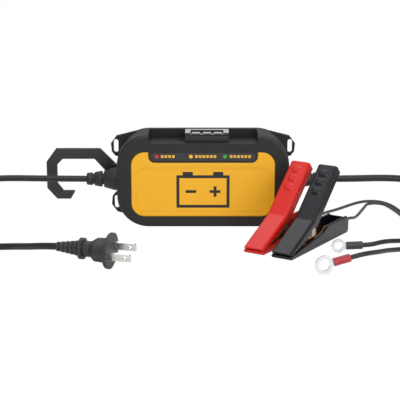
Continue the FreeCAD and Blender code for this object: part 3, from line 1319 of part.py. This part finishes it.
def plug():
    """Moulded two-blade plug, lying on the edge of its flange, built along +X from the cord's end."""
    relief = float(size.plugReliefLong)
    high = float(size.plugBodyHigh)
    wide = float(size.plugBodyWidth)
    long = float(size.plugBodyLong)
    pieces = []
    ribs = 5
    pitch = relief / ribs
    for index in range(ribs):
        radius = 3.4 + index * 0.5
        pieces.append(Part.makeCylinder(radius - 0.7, pitch + 0.2, Vector(index * pitch, 0, 0), Vector(1, 0, 0)))
        pieces.append(Part.makeCylinder(radius, pitch * 0.55, Vector(index * pitch, 0, 0), Vector(1, 0, 0)))
    pieces.append(Part.makeCylinder(7.7, 2.8, Vector(relief, 0, 0), Vector(1, 0, 0)))
    sections = [(relief + 2.4, 11.5, 11), (relief + 8.3, 11.5, 11), (relief + 12, wide - 1.5, high - 0.5),
                (long, wide, high)]
    rings = [ovalWire(x, across, tall) for x, across, tall in sections]
    for first, second in zip(rings, rings[1:]):
        pieces.append(Part.makeLoft([first, second], True, True))
    flange = Part.makeLoft([ovalWire(x, float(size.flangeWide) - trim, float(size.flangeHigh) - trim)
                            for x, trim in ((long - 0.5, 1.0), (long + 0.3, 0))], True, True)
    plate = Part.makeLoft([ovalWire(x, float(size.flangeWide), float(size.flangeHigh))
                           for x in (long + 0.3, long + float(size.flangeThick))], True, True)
    shape = pieces[0].fuse(pieces[1:] + [flange, plate]).removeSplitter()
    blades = []
    front = long + float(size.flangeThick)
    for side in (-1, 1):
        y = side * float(size.bladePitch) / 2
        thick = float(size.bladeThick)
        blade = Part.makeBox(float(size.bladeLong) + 6, thick, float(size.bladeWide),
                             Vector(front - 6, y - thick / 2, -float(size.bladeWide) / 2))
        tipEdges = [edge for edge in blade.Edges if edge.BoundBox.YLength > thick / 2
                    and edge.BoundBox.XMin > front + float(size.bladeLong) - 0.1]
        blade = blade.makeFillet(1.2, tipEdges)
        blade = blade.cut(rodY(front + float(size.bladeLong) * 0.72, 0, float(size.bladeHole), y - 2, y + 2))
        blades.append(blade)
    shape = shape.cut(Part.makeCompound(blades))
    frame = Placement(Vector(float(size.plugX), float(size.plugY), float(size.plugAxisZ)),
                      Rotation(float(size.plugYaw), 0, float(size.plugRoll)))
    solidNode("plug_body", biggest(shape)).Placement = frame
    solidNode("plug_blades", Part.makeCompound(blades)).Placement = frame


def ovalWire(x, across, tall):
    """A rounded rectangle across the X axis."""
    curve = min(across, tall) * 0.49
    plate = Part.makePolygon([Vector(x, sideY * across / 2, sideZ * tall / 2)
                              for sideY, sideZ in ((1, 1), (-1, 1), (-1, -1), (1, -1), (1, 1))])
    face = Part.Face(plate).extrude(Vector(1, 0, 0))
    edges = [edge for edge in face.Edges if edge.BoundBox.XLength > 0.5]
    rounded = face.makeFillet(curve, edges)
    side = min(rounded.Faces, key=lambda item: item.CenterOfMass.x)
    return side.OuterWire


frontShell()
rearShell()
gasket()
facePanel()
overlay()
selectorSlide()
cordExits()
hook()
screws()
board()
internalLeads()
cords()
plug()
for colour in ("red", "black"):
    clamp(colour)
clampLeads()
connectors()
rings()
doc.recompute()

faults = [thing.Label for thing in doc.Objects if "Invalid" in thing.State or "Error" in thing.State]
for label, thing in nodes.items():
    shape = thing.Shape
    if shape.isNull() or not shape.isValid() or not shape.Solids:
        faults.append(label)
if faults:
    raise ValueError(f"faulty objects: {faults}")

os.makedirs("parts", exist_ok=True)
for label, thing in nodes.items():
    thing.Shape.exportStep(f"parts/{label}.step")
print(f"{len(nodes)} nodes written")
for cord, stretches in (("mains", ("ac_cord_lead", "ac_cord_coil", "ac_cord_tail")),
                        ("output", ("dc_cord_lead", "dc_cord_coil", "dc_cord_tail"))):
    print(f"{cord} cord: {sum(lengths[stretch] for stretch in stretches):.0f} mm in all")
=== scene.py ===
import json
import math

import bmesh
import bpy
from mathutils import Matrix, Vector


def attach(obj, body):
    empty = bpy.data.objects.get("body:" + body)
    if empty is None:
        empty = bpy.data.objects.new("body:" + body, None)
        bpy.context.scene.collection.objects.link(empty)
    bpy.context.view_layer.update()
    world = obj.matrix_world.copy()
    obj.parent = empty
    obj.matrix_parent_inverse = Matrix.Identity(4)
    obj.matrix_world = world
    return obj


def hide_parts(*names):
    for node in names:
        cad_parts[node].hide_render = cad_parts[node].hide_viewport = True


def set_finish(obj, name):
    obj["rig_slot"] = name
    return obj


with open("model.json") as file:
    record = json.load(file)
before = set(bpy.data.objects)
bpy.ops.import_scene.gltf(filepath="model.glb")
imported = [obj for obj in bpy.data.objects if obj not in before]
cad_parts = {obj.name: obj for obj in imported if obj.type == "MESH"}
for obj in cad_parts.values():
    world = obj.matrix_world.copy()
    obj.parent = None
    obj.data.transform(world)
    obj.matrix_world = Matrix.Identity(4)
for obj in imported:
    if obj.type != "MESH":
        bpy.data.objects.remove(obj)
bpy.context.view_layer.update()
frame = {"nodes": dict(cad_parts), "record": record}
mm = 0.001
print("frame loaded:", len(frame["nodes"]), "nodes")


def linearColour(hexValue):
    channels = [int(hexValue[start:start + 2], 16) / 255 for start in (1, 3, 5)]
    return [c / 12.92 if c <= 0.04045 else ((c + 0.055) / 1.055) ** 2.4 for c in channels] + [1.0]


# Camera at the photo's angle: a long lens, 14 degrees above the bench
cameraSettings = {
    "place": (-0.002366, -0.943139, 0.252858),
    "downTilt": 14,
    "lens": 108.41,
    "sensor": 36,
    "nearest": 0.02,
    "farthest": 20,
}


def addCamera():
    cameraData = bpy.data.cameras.new("productCamera")
    cameraData.lens = cameraSettings["lens"]
    cameraData.sensor_width = cameraSettings["sensor"]
    cameraData.clip_start = cameraSettings["nearest"]
    cameraData.clip_end = cameraSettings["farthest"]
    camera = bpy.data.objects.new("productCamera", cameraData)
    camera.location = cameraSettings["place"]
    camera.rotation_euler = (math.radians(90 - cameraSettings["downTilt"]), 0, 0)
    bpy.context.scene.collection.objects.link(camera)
    bpy.context.scene.camera = camera


addCamera()


# Clamp covers: the same shapes as the solids, with the corners softened as on dipped vinyl
coverSkin = {
    "step": 0.45 * mm,
    "softening": 0.5,
    "rounds": 8,
    "bodies": {"red_upper_cover": "red_lever", "black_upper_cover": "black_lever",
               "red_lower_cover": "charger", "black_lower_cover": "charger"},
}


def roundCovers():
    pieces = {}
    for name, body in coverSkin["bodies"].items():
        node = frame["nodes"][name]
        piece = bpy.data.objects.new("dipped_" + name, node.data.copy())
        piece.matrix_world = node.matrix_world
        bpy.context.scene.collection.objects.link(piece)
        skin = piece.modifiers.new("evenSkin", "REMESH")
        skin.mode = "VOXEL"
        skin.voxel_size = coverSkin["step"]
        skin.use_smooth_shade = True
        corners = piece.modifiers.new("roundCorners", "SMOOTH")
        corners.factor = coverSkin["softening"]
        corners.iterations = coverSkin["rounds"]
        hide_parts(name)
        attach(piece, body)
        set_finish(piece, name.split("_")[0] + "_grip")
        pieces[name] = piece
    print("covers rounded:", len(pieces))
    return pieces


covers = roundCovers()


# Strain reliefs, turned from one profile: a flare, then two tapered rings with necks between them.
# Each pair is the distance out from the housing's side and the radius, in millimetres.
strainRelief = {
    "profile": [(-2, 0), (-2, 9.2), (0, 9.4), (3, 9), (10.1, 7), (10.7, 6.7), (11, 6.2), (11.2, 4.4),
                (12.2, 4.4), (12.4, 6), (12.8, 6.4), (13.3, 6.4), (18.1, 5.5), (18.6, 5.2), (18.9, 4.2),
                (20.1, 4.2), (20.3, 4.9), (20.7, 5.2), (24.4, 4.7), (24.8, 4.4), (25, 4), (25, 0)],
    "sides": 56,
    "sharpAngle": 50,
    "housingSide": 68,
    "exit": (-3, 36),
    "places": {"ac_strain_relief": -1, "dc_strain_relief": 1},
}


def turnReliefs():
    pieces = {}
    profile = strainRelief["profile"]
    sides = strainRelief["sides"]
    exitY, exitZ = strainRelief["exit"]
    for name, side in strainRelief["places"].items():
        points = []
        for out, radius in profile:
            for index in range(sides):
                angle = side * 2 * math.pi * index / sides
                points.append((side * (strainRelief["housingSide"] + out) * mm,
                               (exitY + radius * math.cos(angle)) * mm,
                               (exitZ + radius * math.sin(angle)) * mm))
        faces = []
        for ring in range(len(profile) - 1):
            for index in range(sides):
                after = (index + 1) % sides
                faces.append((ring * sides + index, ring * sides + after,
                              (ring + 1) * sides + after, (ring + 1) * sides + index))
        mesh = bpy.data.meshes.new("ringed_" + name)
        mesh.from_pydata(points, [], faces)
        shape = bmesh.new()
        shape.from_mesh(mesh)
        bmesh.ops.remove_doubles(shape, verts=shape.verts, dist=0.01 * mm)
        bmesh.ops.recalc_face_normals(shape, faces=shape.faces)
        shape.to_mesh(mesh)
        shape.free()
        mesh.polygons.foreach_set("use_smooth", [True] * len(mesh.polygons))
        mesh.set_sharp_from_angle(angle=math.radians(strainRelief["sharpAngle"]))
        piece = bpy.data.objects.new("ringed_" + name, mesh)
        bpy.context.scene.collection.objects.link(piece)
        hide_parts(name)
        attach(piece, "charger")
        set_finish(piece, "relief_pvc")
        pieces[name] = piece
    print("reliefs turned:", len(pieces))
    return pieces


reliefs = turnReliefs()


# Cords. The routes are the ones of the part's source, in millimetres.
mainsCord = {
    "diameter": 5.0,
    "length": 1.647,
    "lead": [(-93.1, -3, 36), (-126, -3.2, 36.2), (-162, -3.6, 36.9), (-191, -4.4, 34.2), (-215, -7, 26),
             (-233, -14, 16.5), (-244, -26, 8.8), (-248.45, -40, 4.2)],
    "coil": {"centre": (-209, -55), "radius": 30, "pitch": 5.6, "turns": 7.25, "start": 180, "spin": 1,
             "low": 3.6},
    "tail": [(-197, -94.45, 9.2), (-184, -92, 6.6), (-171, -87, 3), (-158, -82.8, 2.5), (-145.5, -84.5, 3.2),
             (-135.5, -93, 5.8), (-127, -101.9, 8.3), (-119.5, -109, 10.6), (-112, -113.5, 12),
             (-104.3, -115.7, 12.4)],
}
outputCord = {
    "diameter": 5.4,
    "length": 1.237,
    "lead": [(93.1, -3, 36), (118, -3, 36.1), (146, -2.8, 36.8), (167, -0.5, 35), (178.5, 5.5, 28.5),
             (184, 14, 20.5), (185.5, 23, 13), (185.5, 32, 7.2), (185.5, 40, 4.1)],
    "coil": {"centre": (223, 48), "radius": 30, "pitch": 6.0, "turns": 5.5, "start": 180, "spin": -1,
             "low": 3.8},
    "tail": [(260.5, 36, 9.8), (259.5, 22, 7), (256, 6, 4.8), (247, -7.5, 4.5), (233.5, -14.5, 4.5),
             (222, -15, 4.5)],
}
clampLeads = {
    "diameter": 2.4,
    "red": [(182, -12.7, 4.5), (176, -12.7, 4.1), (171.3, -9.5, 2.6), (168.5, -4, 1.5), (166.5, 7, 1.3),
            (164.5, 24, 1.3), (161.8, 40, 1.3), (157.5, 53, 1.3), (150.5, 61.3, 1.3), (141.5, 62.3, 1.3),
            (133, 57.5, 1.3), (124, 47.5, 1.3), (112, 32, 1.5), (102, 17, 3.2), (97.0, 0.97, 6),
            (93.24, -4.93, 6)],
    "black": [(182, -17.3, 4.5), (174, -17.3, 4.1), (168.3, -13.2, 2.4), (165, -6, 1.4), (163.4, 7, 1.3),
              (161.3, 22, 1.3), (158.9, 34, 1.3), (156.6, 43.5, 1.3), (154.5, 50.5, 1.3), (150, 54.1, 1.3),
              (144.2, 54.3, 1.3), (139.4, 51, 1.3), (137.2, 43.5, 1.3), (132.5, 30, 1.3), (127, 13, 1.5),
              (122.3, -1.5, 3.2), (116.7, -12.23, 6), (112.94, -18.13, 6)],
    "lengths": {"red": 0.1798, "black": 0.1717},
}
ringLeads = {
    "diameter": 3.5,
    "black": [(210, -33.7, 5.7), (219, -33.7, 5.7), (229, -34.9, 5), (238.5, -41, 3), (241, -52.5, 2),
              (232, -64, 1.8), (216, -69.5, 1.8), (198, -68, 1.8), (180, -64, 1.8), (163, -62.5, 1.8),
              (149.5, -66.8, 2.6), (140.5, -73.5, 4.4), (132.2, -81.5, 5.8), (124.3, -86.66, 5.25),
              (117.38, -87.63, 5.25)],
    "red": [(210, -28.7, 5.7), (219, -28.7, 5.7), (229, -28.7, 5.4), (242, -31, 4), (251, -39.5, 2.6),
            (253.5, -53, 2.2), (248, -68, 2.4), (237, -79.5, 3.6), (224, -85, 5.5), (190, -84.5, 5.5),
            (176, -82, 3.2), (162, -82.5, 1.8), (150.5, -87, 2.2), (140.5, -96, 4.1), (132.5, -107, 6.8),
            (125.5, -119.5, 9.5), (117.5, -129.5, 11.6), (109.6, -135.23, 11.95), (102.06, -137.39, 10.42)],
    "lengths": {"red": 0.250, "black": 0.1786},
}


cordMesh = {
    "aroundSides": 5,
    "stepsAlong": 10,
    "coilPointsPerTurn": 16,
}


def coilPoints(coil):
    # spiral in on the bench, climb in half a turn, spiral out on top
    layer = (coil["turns"] - 0.5) / 2
    outer = coil["radius"] + layer * coil["pitch"] / 2
    inner = coil["radius"] - layer * coil["pitch"] / 2
    count = round(coil["turns"] * cordMesh["coilPointsPerTurn"])
    points = []
    for index in range(count + 1):
        turn = coil["turns"] * index / count
        if turn < layer:
            radius = outer + (inner - outer) * turn / layer
            height = coil["low"]
        elif turn < layer + 0.5:
            share = (turn - layer) / 0.5
            radius = inner - coil["pitch"] / 4 * math.sin(math.pi * share)
            height = coil["low"] + coil["pitch"] * (3 * share ** 2 - 2 * share ** 3)
        else:
            radius = inner + (outer - inner) * (turn - layer - 0.5) / layer
            height = coil["low"] + coil["pitch"]
        angle = math.radians(coil["start"]) + coil["spin"] * 2 * math.pi * turn
        points.append((coil["centre"][0] + radius * math.cos(angle),
                       coil["centre"][1] + radius * math.sin(angle), height))
    return points


def layCord(name, points, diameter):
    curve = bpy.data.curves.new(name, "CURVE")
    curve.dimensions = "3D"
    # a unit bevel scaled by each point's radius, so that the curve's own box is no wider than the cord
    curve.bevel_depth = 1.0
    curve.bevel_resolution = cordMesh["aroundSides"]
    curve.resolution_u = cordMesh["stepsAlong"]
    curve.use_fill_caps = True
    spline = curve.splines.new("NURBS")
    spline.points.add(len(points) - 1)
    for point, place in zip(spline.points, points):
        point.co = (place[0] * mm, place[1] * mm, place[2] * mm, 1)
        point.radius = diameter / 2 * mm
    spline.order_u = 3
    spline.use_endpoint_u = True
    cord = bpy.data.objects.new(name, curve)
    bpy.context.scene.collection.objects.link(cord)
    return cord


def declareCord(piece, cord, points, nodes, slot, withPieces, **facts):
    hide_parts(*nodes)
    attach(piece, "charger")
    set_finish(piece, slot)


def layCords():
    pieces = {}
    for name, cord, start, far, withPieces in (
            ("mainsCord", mainsCord, "ac", "plug", ["plug_body", "plug_blades"]),
            ("outputCord", outputCord, "dc", "connector",
             ["charger_connector", "clamp_connector", "ring_connector", "connector_cap"])):
        points = cord["lead"] + coilPoints(cord["coil"]) + cord["tail"]
        nodes = [f"{start}_cord_{stretch}" for stretch in ("lead", "coil", "tail")]
        ends = [f"{start}_strain_relief", f"{start}_cord_tie"]
        piece = layCord(name, points, cord["diameter"])
        declareCord(piece, cord, points, nodes, "cord_pvc", ends + withPieces, length=cord["length"],
                    far_end=far, lay="coiled")
        pieces[name] = piece
    ringPieces = {"red": ["ring_terminal_large", "ring_sleeve_red", "fuse_holder"],
                  "black": ["ring_terminal_small", "ring_sleeve_black"]}
    clampParts = ("lower_cover", "lower_jaw", "pivot_pin", "spring", "upper_cover", "upper_jaw")
    for colour in ("red", "black"):
        clampPieces = [f"{colour}_{part}" for part in clampParts]
        for kind, leads, node, withPieces in (
                ("clamp", clampLeads, "clamp_lead_", clampPieces),
                ("ring", ringLeads, "ring_lead_", ringPieces[colour])):
            name = kind + "Lead" + colour.title()
            piece = layCord(name, leads[colour], leads["diameter"])
            declareCord(piece, leads, leads[colour], [node + colour], kind + "_lead_pvc", withPieces,
                        length=leads["lengths"][colour], far_end="fitting", stiffness="limp")
            pieces[name] = piece
    print("cords laid:", len(pieces))
    return pieces


cords = layCords()


# Materials

def addNode(tree, kind, settings=None, links=None):
    node = tree.nodes.new(kind)
    for name, value in (settings or {}).items():
        if name in node.inputs:
            node.inputs[name].default_value = value
        else:
            setattr(node, name, value)
    for name, source in (links or {}).items():
        tree.links.new(source, node.inputs[name])
    return node


def startMaterial(name, **surface):
    material = bpy.data.materials.new(name)
    material.use_nodes = True
    tree = material.node_tree
    shader = tree.nodes["Principled BSDF"]
    for socket, value in surface.items():
        shader.inputs[socket.replace("_", " ")].default_value = value
    return material, tree, shader


def sparkErodedPlastic(name, hexColour, roughness=0.5, grainMm=0.35, depth=0.12, ior=1.53, gloss=0.5,
                       wearMm=18):
    # Moulded in a spark-eroded tool: an even fine grain that breaks up every highlight.
    # The real grain is about 0.05 mm, too fine to show, so it is drawn several times as coarse.
    material, tree, shader = startMaterial(name, Base_Color=linearColour(hexColour), Roughness=roughness,
                                           IOR=ior, Specular_IOR_Level=gloss)
    place = addNode(tree, "ShaderNodeTexCoord")
    grain = addNode(tree, "ShaderNodeTexNoise",
                    {"Scale": 1 / (grainMm * mm), "Detail": 2.0, "Roughness": 0.5},
                    {"Vector": place.outputs["Object"]})
    wear = addNode(tree, "ShaderNodeTexNoise", {"Scale": 1 / (wearMm * mm), "Detail": 4.0},
                   {"Vector": place.outputs["Object"]})
    sheen = addNode(tree, "ShaderNodeMapRange", {"To Min": roughness - 0.05, "To Max": roughness + 0.06},
                    {"Value": wear.outputs["Fac"]})
    bump = addNode(tree, "ShaderNodeBump", {"Strength": depth, "Distance": 0.05 * mm},
                   {"Height": grain.outputs["Fac"]})
    tree.links.new(sheen.outputs["Result"], shader.inputs["Roughness"])
    tree.links.new(bump.outputs["Normal"], shader.inputs["Normal"])
    return material


def pvcJacket(name, hexColour, roughness=0.42, rippleMm=4.0):
    # extruded or soft moulded PVC: a soft sheen with a faint ripple from the die
    material, tree, shader = startMaterial(name, Base_Color=linearColour(hexColour), Roughness=roughness,
                                           IOR=1.53, Specular_IOR_Level=0.35)
    place = addNode(tree, "ShaderNodeTexCoord")
    ripple = addNode(tree, "ShaderNodeTexNoise", {"Scale": 1 / (rippleMm * mm), "Detail": 2.0},
                     {"Vector": place.outputs["Object"]})
    bump = addNode(tree, "ShaderNodeBump", {"Strength": 0.1, "Distance": 0.05 * mm},
                   {"Height": ripple.outputs["Fac"]})
    tree.links.new(bump.outputs["Normal"], shader.inputs["Normal"])
    return material


def platedMetal(name, hexColour, roughness, scratchMm=0.25):
    # stamped and plated metal: rolling lines that smear the reflections one way
    material, tree, shader = startMaterial(name, Base_Color=linearColour(hexColour), Roughness=roughness,
                                           Metallic=1.0)
    place = addNode(tree, "ShaderNodeTexCoord")
    stretch = addNode(tree, "ShaderNodeMapping", {"Scale": (1.0, 1.0, 8.0)},
                      {"Vector": place.outputs["Object"]})
    lines = addNode(tree, "ShaderNodeTexNoise", {"Scale": 1 / (scratchMm * mm * 4), "Detail": 3.0},
                    {"Vector": stretch.outputs["Vector"]})
    gloss = addNode(tree, "ShaderNodeMapRange", {"To Min": roughness - 0.06, "To Max": roughness + 0.12},
                    {"Value": lines.outputs["Fac"]})
    tree.links.new(gloss.outputs["Result"], shader.inputs["Roughness"])
    return material


def lensPlastic(name, hexColour, glow):
    # clear tinted acrylic light pipe with a little light in it
    return startMaterial(name, Base_Color=linearColour(hexColour), Roughness=0.12, IOR=1.49,
                         Emission_Color=linearColour(hexColour), Emission_Strength=glow)[0]


def colourWhere(material, mask, hexColour):
    # the material keeps its colour where the mask is 0 and takes the new one where it is 1
    tree = material.node_tree
    shader = tree.nodes["Principled BSDF"]
    blend = addNode(tree, "ShaderNodeMix", {"data_type": "RGBA"})
    baseColour, newColour = [socket for socket in blend.inputs if socket.type == "RGBA"]
    blended = next(socket for socket in blend.outputs if socket.type == "RGBA")
    baseColour.default_value = shader.inputs["Base Color"].default_value
    newColour.default_value = linearColour(hexColour)
    tree.links.new(mask, blend.inputs["Factor"])
    tree.links.new(blended, shader.inputs["Base Color"])


def printOn(material, hexColour, areas):
    # flat print in one colour; each area is centre x, centre z, width and height in millimetres
    tree = material.node_tree
    place = addNode(tree, "ShaderNodeTexCoord")
    axes = addNode(tree, "ShaderNodeSeparateXYZ", {}, {"Vector": place.outputs["Object"]})
    mask = None
    for centreX, centreZ, width, height in areas:
        sides = []
        for axis, centre, span in (("X", centreX, width), ("Z", centreZ, height)):
            side = addNode(tree, "ShaderNodeMath", {"operation": "COMPARE"}, {})
            tree.links.new(axes.outputs[axis], side.inputs[0])
            side.inputs[1].default_value = centre * mm
            side.inputs[2].default_value = span / 2 * mm
            sides.append(side.outputs["Value"])
        area = addNode(tree, "ShaderNodeMath", {"operation": "MULTIPLY"}, {})
        tree.links.new(sides[0], area.inputs[0])
        tree.links.new(sides[1], area.inputs[1])
        if mask is None:
            mask = area.outputs["Value"]
        else:
            both = addNode(tree, "ShaderNodeMath", {"operation": "MAXIMUM"}, {})
            tree.links.new(mask, both.inputs[0])
            tree.links.new(area.outputs["Value"], both.inputs[1])
            mask = both.outputs["Value"]
    colourWhere(material, mask, hexColour)
    return material


def paintTopHighlight(material, hexColour, aboveMm):
    # faces that look up and stand above a level are painted pale: a painted highlight standing in for the
    # light from above on the top faces
    tree = material.node_tree
    shape = addNode(tree, "ShaderNodeNewGeometry")
    facing = addNode(tree, "ShaderNodeSeparateXYZ", {}, {"Vector": shape.outputs["Normal"]})
    place = addNode(tree, "ShaderNodeTexCoord")
    level = addNode(tree, "ShaderNodeSeparateXYZ", {}, {"Vector": place.outputs["Object"]})
    tests = []
    for axes, threshold in ((facing, 0.7), (level, aboveMm * mm)):
        test = addNode(tree, "ShaderNodeMath", {"operation": "GREATER_THAN"})
        tree.links.new(axes.outputs["Z"], test.inputs[0])
        test.inputs[1].default_value = threshold
        tests.append(test.outputs["Value"])
    both = addNode(tree, "ShaderNodeMath", {"operation": "MULTIPLY"})
    tree.links.new(tests[0], both.inputs[0])
    tree.links.new(tests[1], both.inputs[1])
    colourWhere(material, both.outputs["Value"], hexColour)
    return material


# A plain battery sign in the middle of the panel, and dashes beside the lights
batterySign = [(0, 41.2, 42, 2.4), (0, 17.2, 42, 2.4), (-19.8, 29.2, 2.4, 26.4), (19.8, 29.2, 2.4, 26.4),
               (-12, 43.7, 8, 2.8), (12, 43.7, 8, 2.8), (-9.5, 29.2, 8.6, 2.3), (9.5, 29.2, 8.6, 2.3),
               (9.5, 29.2, 2.3, 8.6)]
lightDashes = [(start + index * 2.9, 57.4, 2.1, 2.2)
               for start, count in ((-32, 4), (-5.2, 6), (22, 6)) for index in range(count)]

finishes = {
    # moulded ABS and nylon: near black, half matt, so only the corners catch the light
    "housing_abs": sparkErodedPlastic("sparkErodedBlackAbs", "#1B1B1B", 0.46, gloss=0.35),
    "hook_nylon": sparkErodedPlastic("glassFilledNylon", "#232426", 0.44, 0.4),
    # the slide's up-facing top faces get a painted highlight in pale grey
    "slide_abs": paintTopHighlight(sparkErodedPlastic("slideAbsPaintedTopHighlight", "#202022", 0.42), "#B4B4B6", 73),
    "switch_plastic": sparkErodedPlastic("switchAcetal", "#C9C8C2", 0.4),
    # self-coloured yellow ABS: warm and even, with a flat dark print
    "yellow_panel": printOn(sparkErodedPlastic("yellowAbs", "#E3A81C", 0.4, 0.3, 0.06, gloss=0.35),
                            "#1F1F21", batterySign),
    # back-printed film: smoother and darker than the housing round it
    "overlay_film": printOn(sparkErodedPlastic("polycarbonateFilm", "#161618", 0.3, 0.25, 0.04, 1.58),
                            "#D9A52C", lightDashes),
    # tinted acrylic: glossy dots that glow a little
    "red_lens": lensPlastic("redAcrylic", "#B81E1A", 0.12),
    "amber_lens": lensPlastic("amberAcrylic", "#DDA21C", 0.2),
    "green_lens": lensPlastic("greenAcrylic", "#27922F", 0.12),
    "fuse_glass": lensPlastic("fuseGlass", "#C9D3D2", 0.0),
    "led_epoxy": lensPlastic("ledEpoxy", "#D8D6C8", 0.0),
    # dipped vinyl: smoother than the housing, with long soft highlights along the covers
    "red_grip": sparkErodedPlastic("redVinyl", "#C81A12", 0.3, 0.5, 0.05, gloss=0.35),
    "black_grip": sparkErodedPlastic("blackVinyl", "#121219", 0.26, 0.5, 0.05, gloss=0.35),
    "red_sleeve": sparkErodedPlastic("redVinylSleeve", "#9C1620", 0.34, 0.5, 0.05),
    "black_sleeve": sparkErodedPlastic("blackVinylSleeve", "#232426", 0.36, 0.5, 0.05),
    # extruded PVC jackets: one soft line of light along each cord
    "cord_pvc": pvcJacket("cordPvc", "#1A1A1B", 0.4),
    "clamp_lead_pvc": pvcJacket("clampLeadPvc", "#3F3C42", 0.4),
    "ring_lead_pvc": pvcJacket("ringLeadPvc", "#202023", 0.4),
    "lead_pvc": pvcJacket("hookUpWirePvc", "#26262A"),
    # soft mouldings on the cords: matt, a shade paler than the jackets
    "relief_pvc": pvcJacket("softMouldedPvc", "#222325", 0.45),
    "plug_pvc": sparkErodedPlastic("mouldedPlugPvc", "#232427", 0.45),
    "connector_pvc": sparkErodedPlastic("connectorPvc", "#222225", 0.5),
    "tie_nylon": sparkErodedPlastic("coatedStrap", "#232325", 0.5),
    "gasket_rubber": pvcJacket("foamRubber", "#1C1C1C", 0.8),
    # plated and plain metals: bright, with lines of wear from rolling and stamping
    "nickel_brass": platedMetal("nickelPlatedBrass", "#DEDDDA", 0.25),
    "tinned_copper": platedMetal("tinnedCopper", "#E2E3E4", 0.2),
    "coppered_steel": platedMetal("copperPlatedSteel", "#A98361", 0.36),
    "rivet_steel": platedMetal("rivetSteel", "#B9AFA0", 0.3),
    "zinc_steel": platedMetal("zincPlatedSteel", "#B8BABD", 0.32),
    "sink_aluminium": platedMetal("extrudedAluminium", "#C4C6C8", 0.38),
    # pieces of the circuit inside: green mask, dull ferrite, amber tape, shiny sleeves
    "board_laminate": sparkErodedPlastic("solderMask", "#1F5B34", 0.35, 0.6, 0.05),
    "ferrite_core": sparkErodedPlastic("sinteredFerrite", "#3A3A3C", 0.6, 0.5),
    "winding_copper": sparkErodedPlastic("polyesterTape", "#C8902A", 0.3, 0.8, 0.05),
    "can_sleeve": sparkErodedPlastic("shrunkPvcSleeve", "#1E2433", 0.25, 0.8, 0.03),
}


def dressNodes():
    slots = {part["node"]: part["material_slot"] for part in frame["record"]["subparts"]}
    for name, node in frame["nodes"].items():
        node.data.materials.clear()
        node.data.materials.append(finishes[slots[name]])
    for piece in [*cords.values(), *covers.values(), *reliefs.values()]:
        piece.data.materials.clear()
        piece.data.materials.append(finishes[piece["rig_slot"]])
    print("materials given:", len(finishes))


dressNodes()


# Bench, backdrop and studio lights
studio = {
    "floorColour": "#F4F4F4",
    "floorReach": 30.0,
    "skyStrength": 0.45,
    "keyPlace": (-0.12, -0.95, 1.0),
    "keySize": 0.9,
    "keyPower": 7.5,
    "fillPlace": (0.7, -0.8, 0.5),
    "fillPower": 5.0,
    "topPlace": (0.05, 0.25, 0.9),
    "topPower": 3.5,
    "lightAim": (0, -0.02, 0.03),
}


def addFloor():
    mesh = bpy.data.meshes.new("benchTop")
    reach = studio["floorReach"]
    mesh.from_pydata([(-reach, -reach, 0), (reach, -reach, 0), (reach, reach, 0), (-reach, reach, 0)], [],
                     [(0, 1, 2, 3)])
    bench = bpy.data.objects.new("benchTop", mesh)
    bpy.context.scene.collection.objects.link(bench)
    material, tree, shader = startMaterial("paleBench", Base_Color=linearColour(studio["floorColour"]),
                                           Roughness=0.9)
    # the camera sees a plain white sheet; everything else sees the bench
    white = addNode(tree, "ShaderNodeEmission", {"Color": (1, 1, 1, 1), "Strength": 1.0})
    paths = addNode(tree, "ShaderNodeLightPath")
    mix = addNode(tree, "ShaderNodeMixShader", {}, {"Fac": paths.outputs["Is Camera Ray"]})
    tree.links.new(shader.outputs["BSDF"], mix.inputs[1])
    tree.links.new(white.outputs["Emission"], mix.inputs[2])
    tree.links.new(mix.outputs["Shader"], tree.nodes["Material Output"].inputs["Surface"])
    mesh.materials.append(material)


def addSky():
    world = bpy.data.worlds.new("studioSky")
    bpy.context.scene.world = world
    world.use_nodes = True
    tree = world.node_tree
    tree.nodes.clear()
    light = addNode(tree, "ShaderNodeBackground", {"Color": (1, 1, 1, 1), "Strength": studio["skyStrength"]})
    white = addNode(tree, "ShaderNodeBackground", {"Color": (1, 1, 1, 1), "Strength": 1.0})
    paths = addNode(tree, "ShaderNodeLightPath")
    mix = addNode(tree, "ShaderNodeMixShader", {}, {"Fac": paths.outputs["Is Camera Ray"]})
    tree.links.new(light.outputs["Background"], mix.inputs[1])
    tree.links.new(white.outputs["Background"], mix.inputs[2])
    addNode(tree, "ShaderNodeOutputWorld", {}, {"Surface": mix.outputs["Shader"]})


def addLight(name, place, size, power):
    lightData = bpy.data.lights.new(name, "AREA")
    lightData.size = size
    lightData.energy = power
    light = bpy.data.objects.new(name, lightData)
    light.location = place
    aim = Vector(studio["lightAim"]) - Vector(place)
    light.rotation_euler = aim.to_track_quat("-Z", "Y").to_euler()
    bpy.context.scene.collection.objects.link(light)


addFloor()
addSky()
addLight("keyLight", studio["keyPlace"], studio["keySize"], studio["keyPower"])
addLight("fillLight", studio["fillPlace"], studio["keySize"], studio["fillPower"])
addLight("topLight", studio["topPlace"], studio["keySize"], studio["topPower"])
bpy.context.scene.view_settings.view_transform = "Standard"
print("studio set")
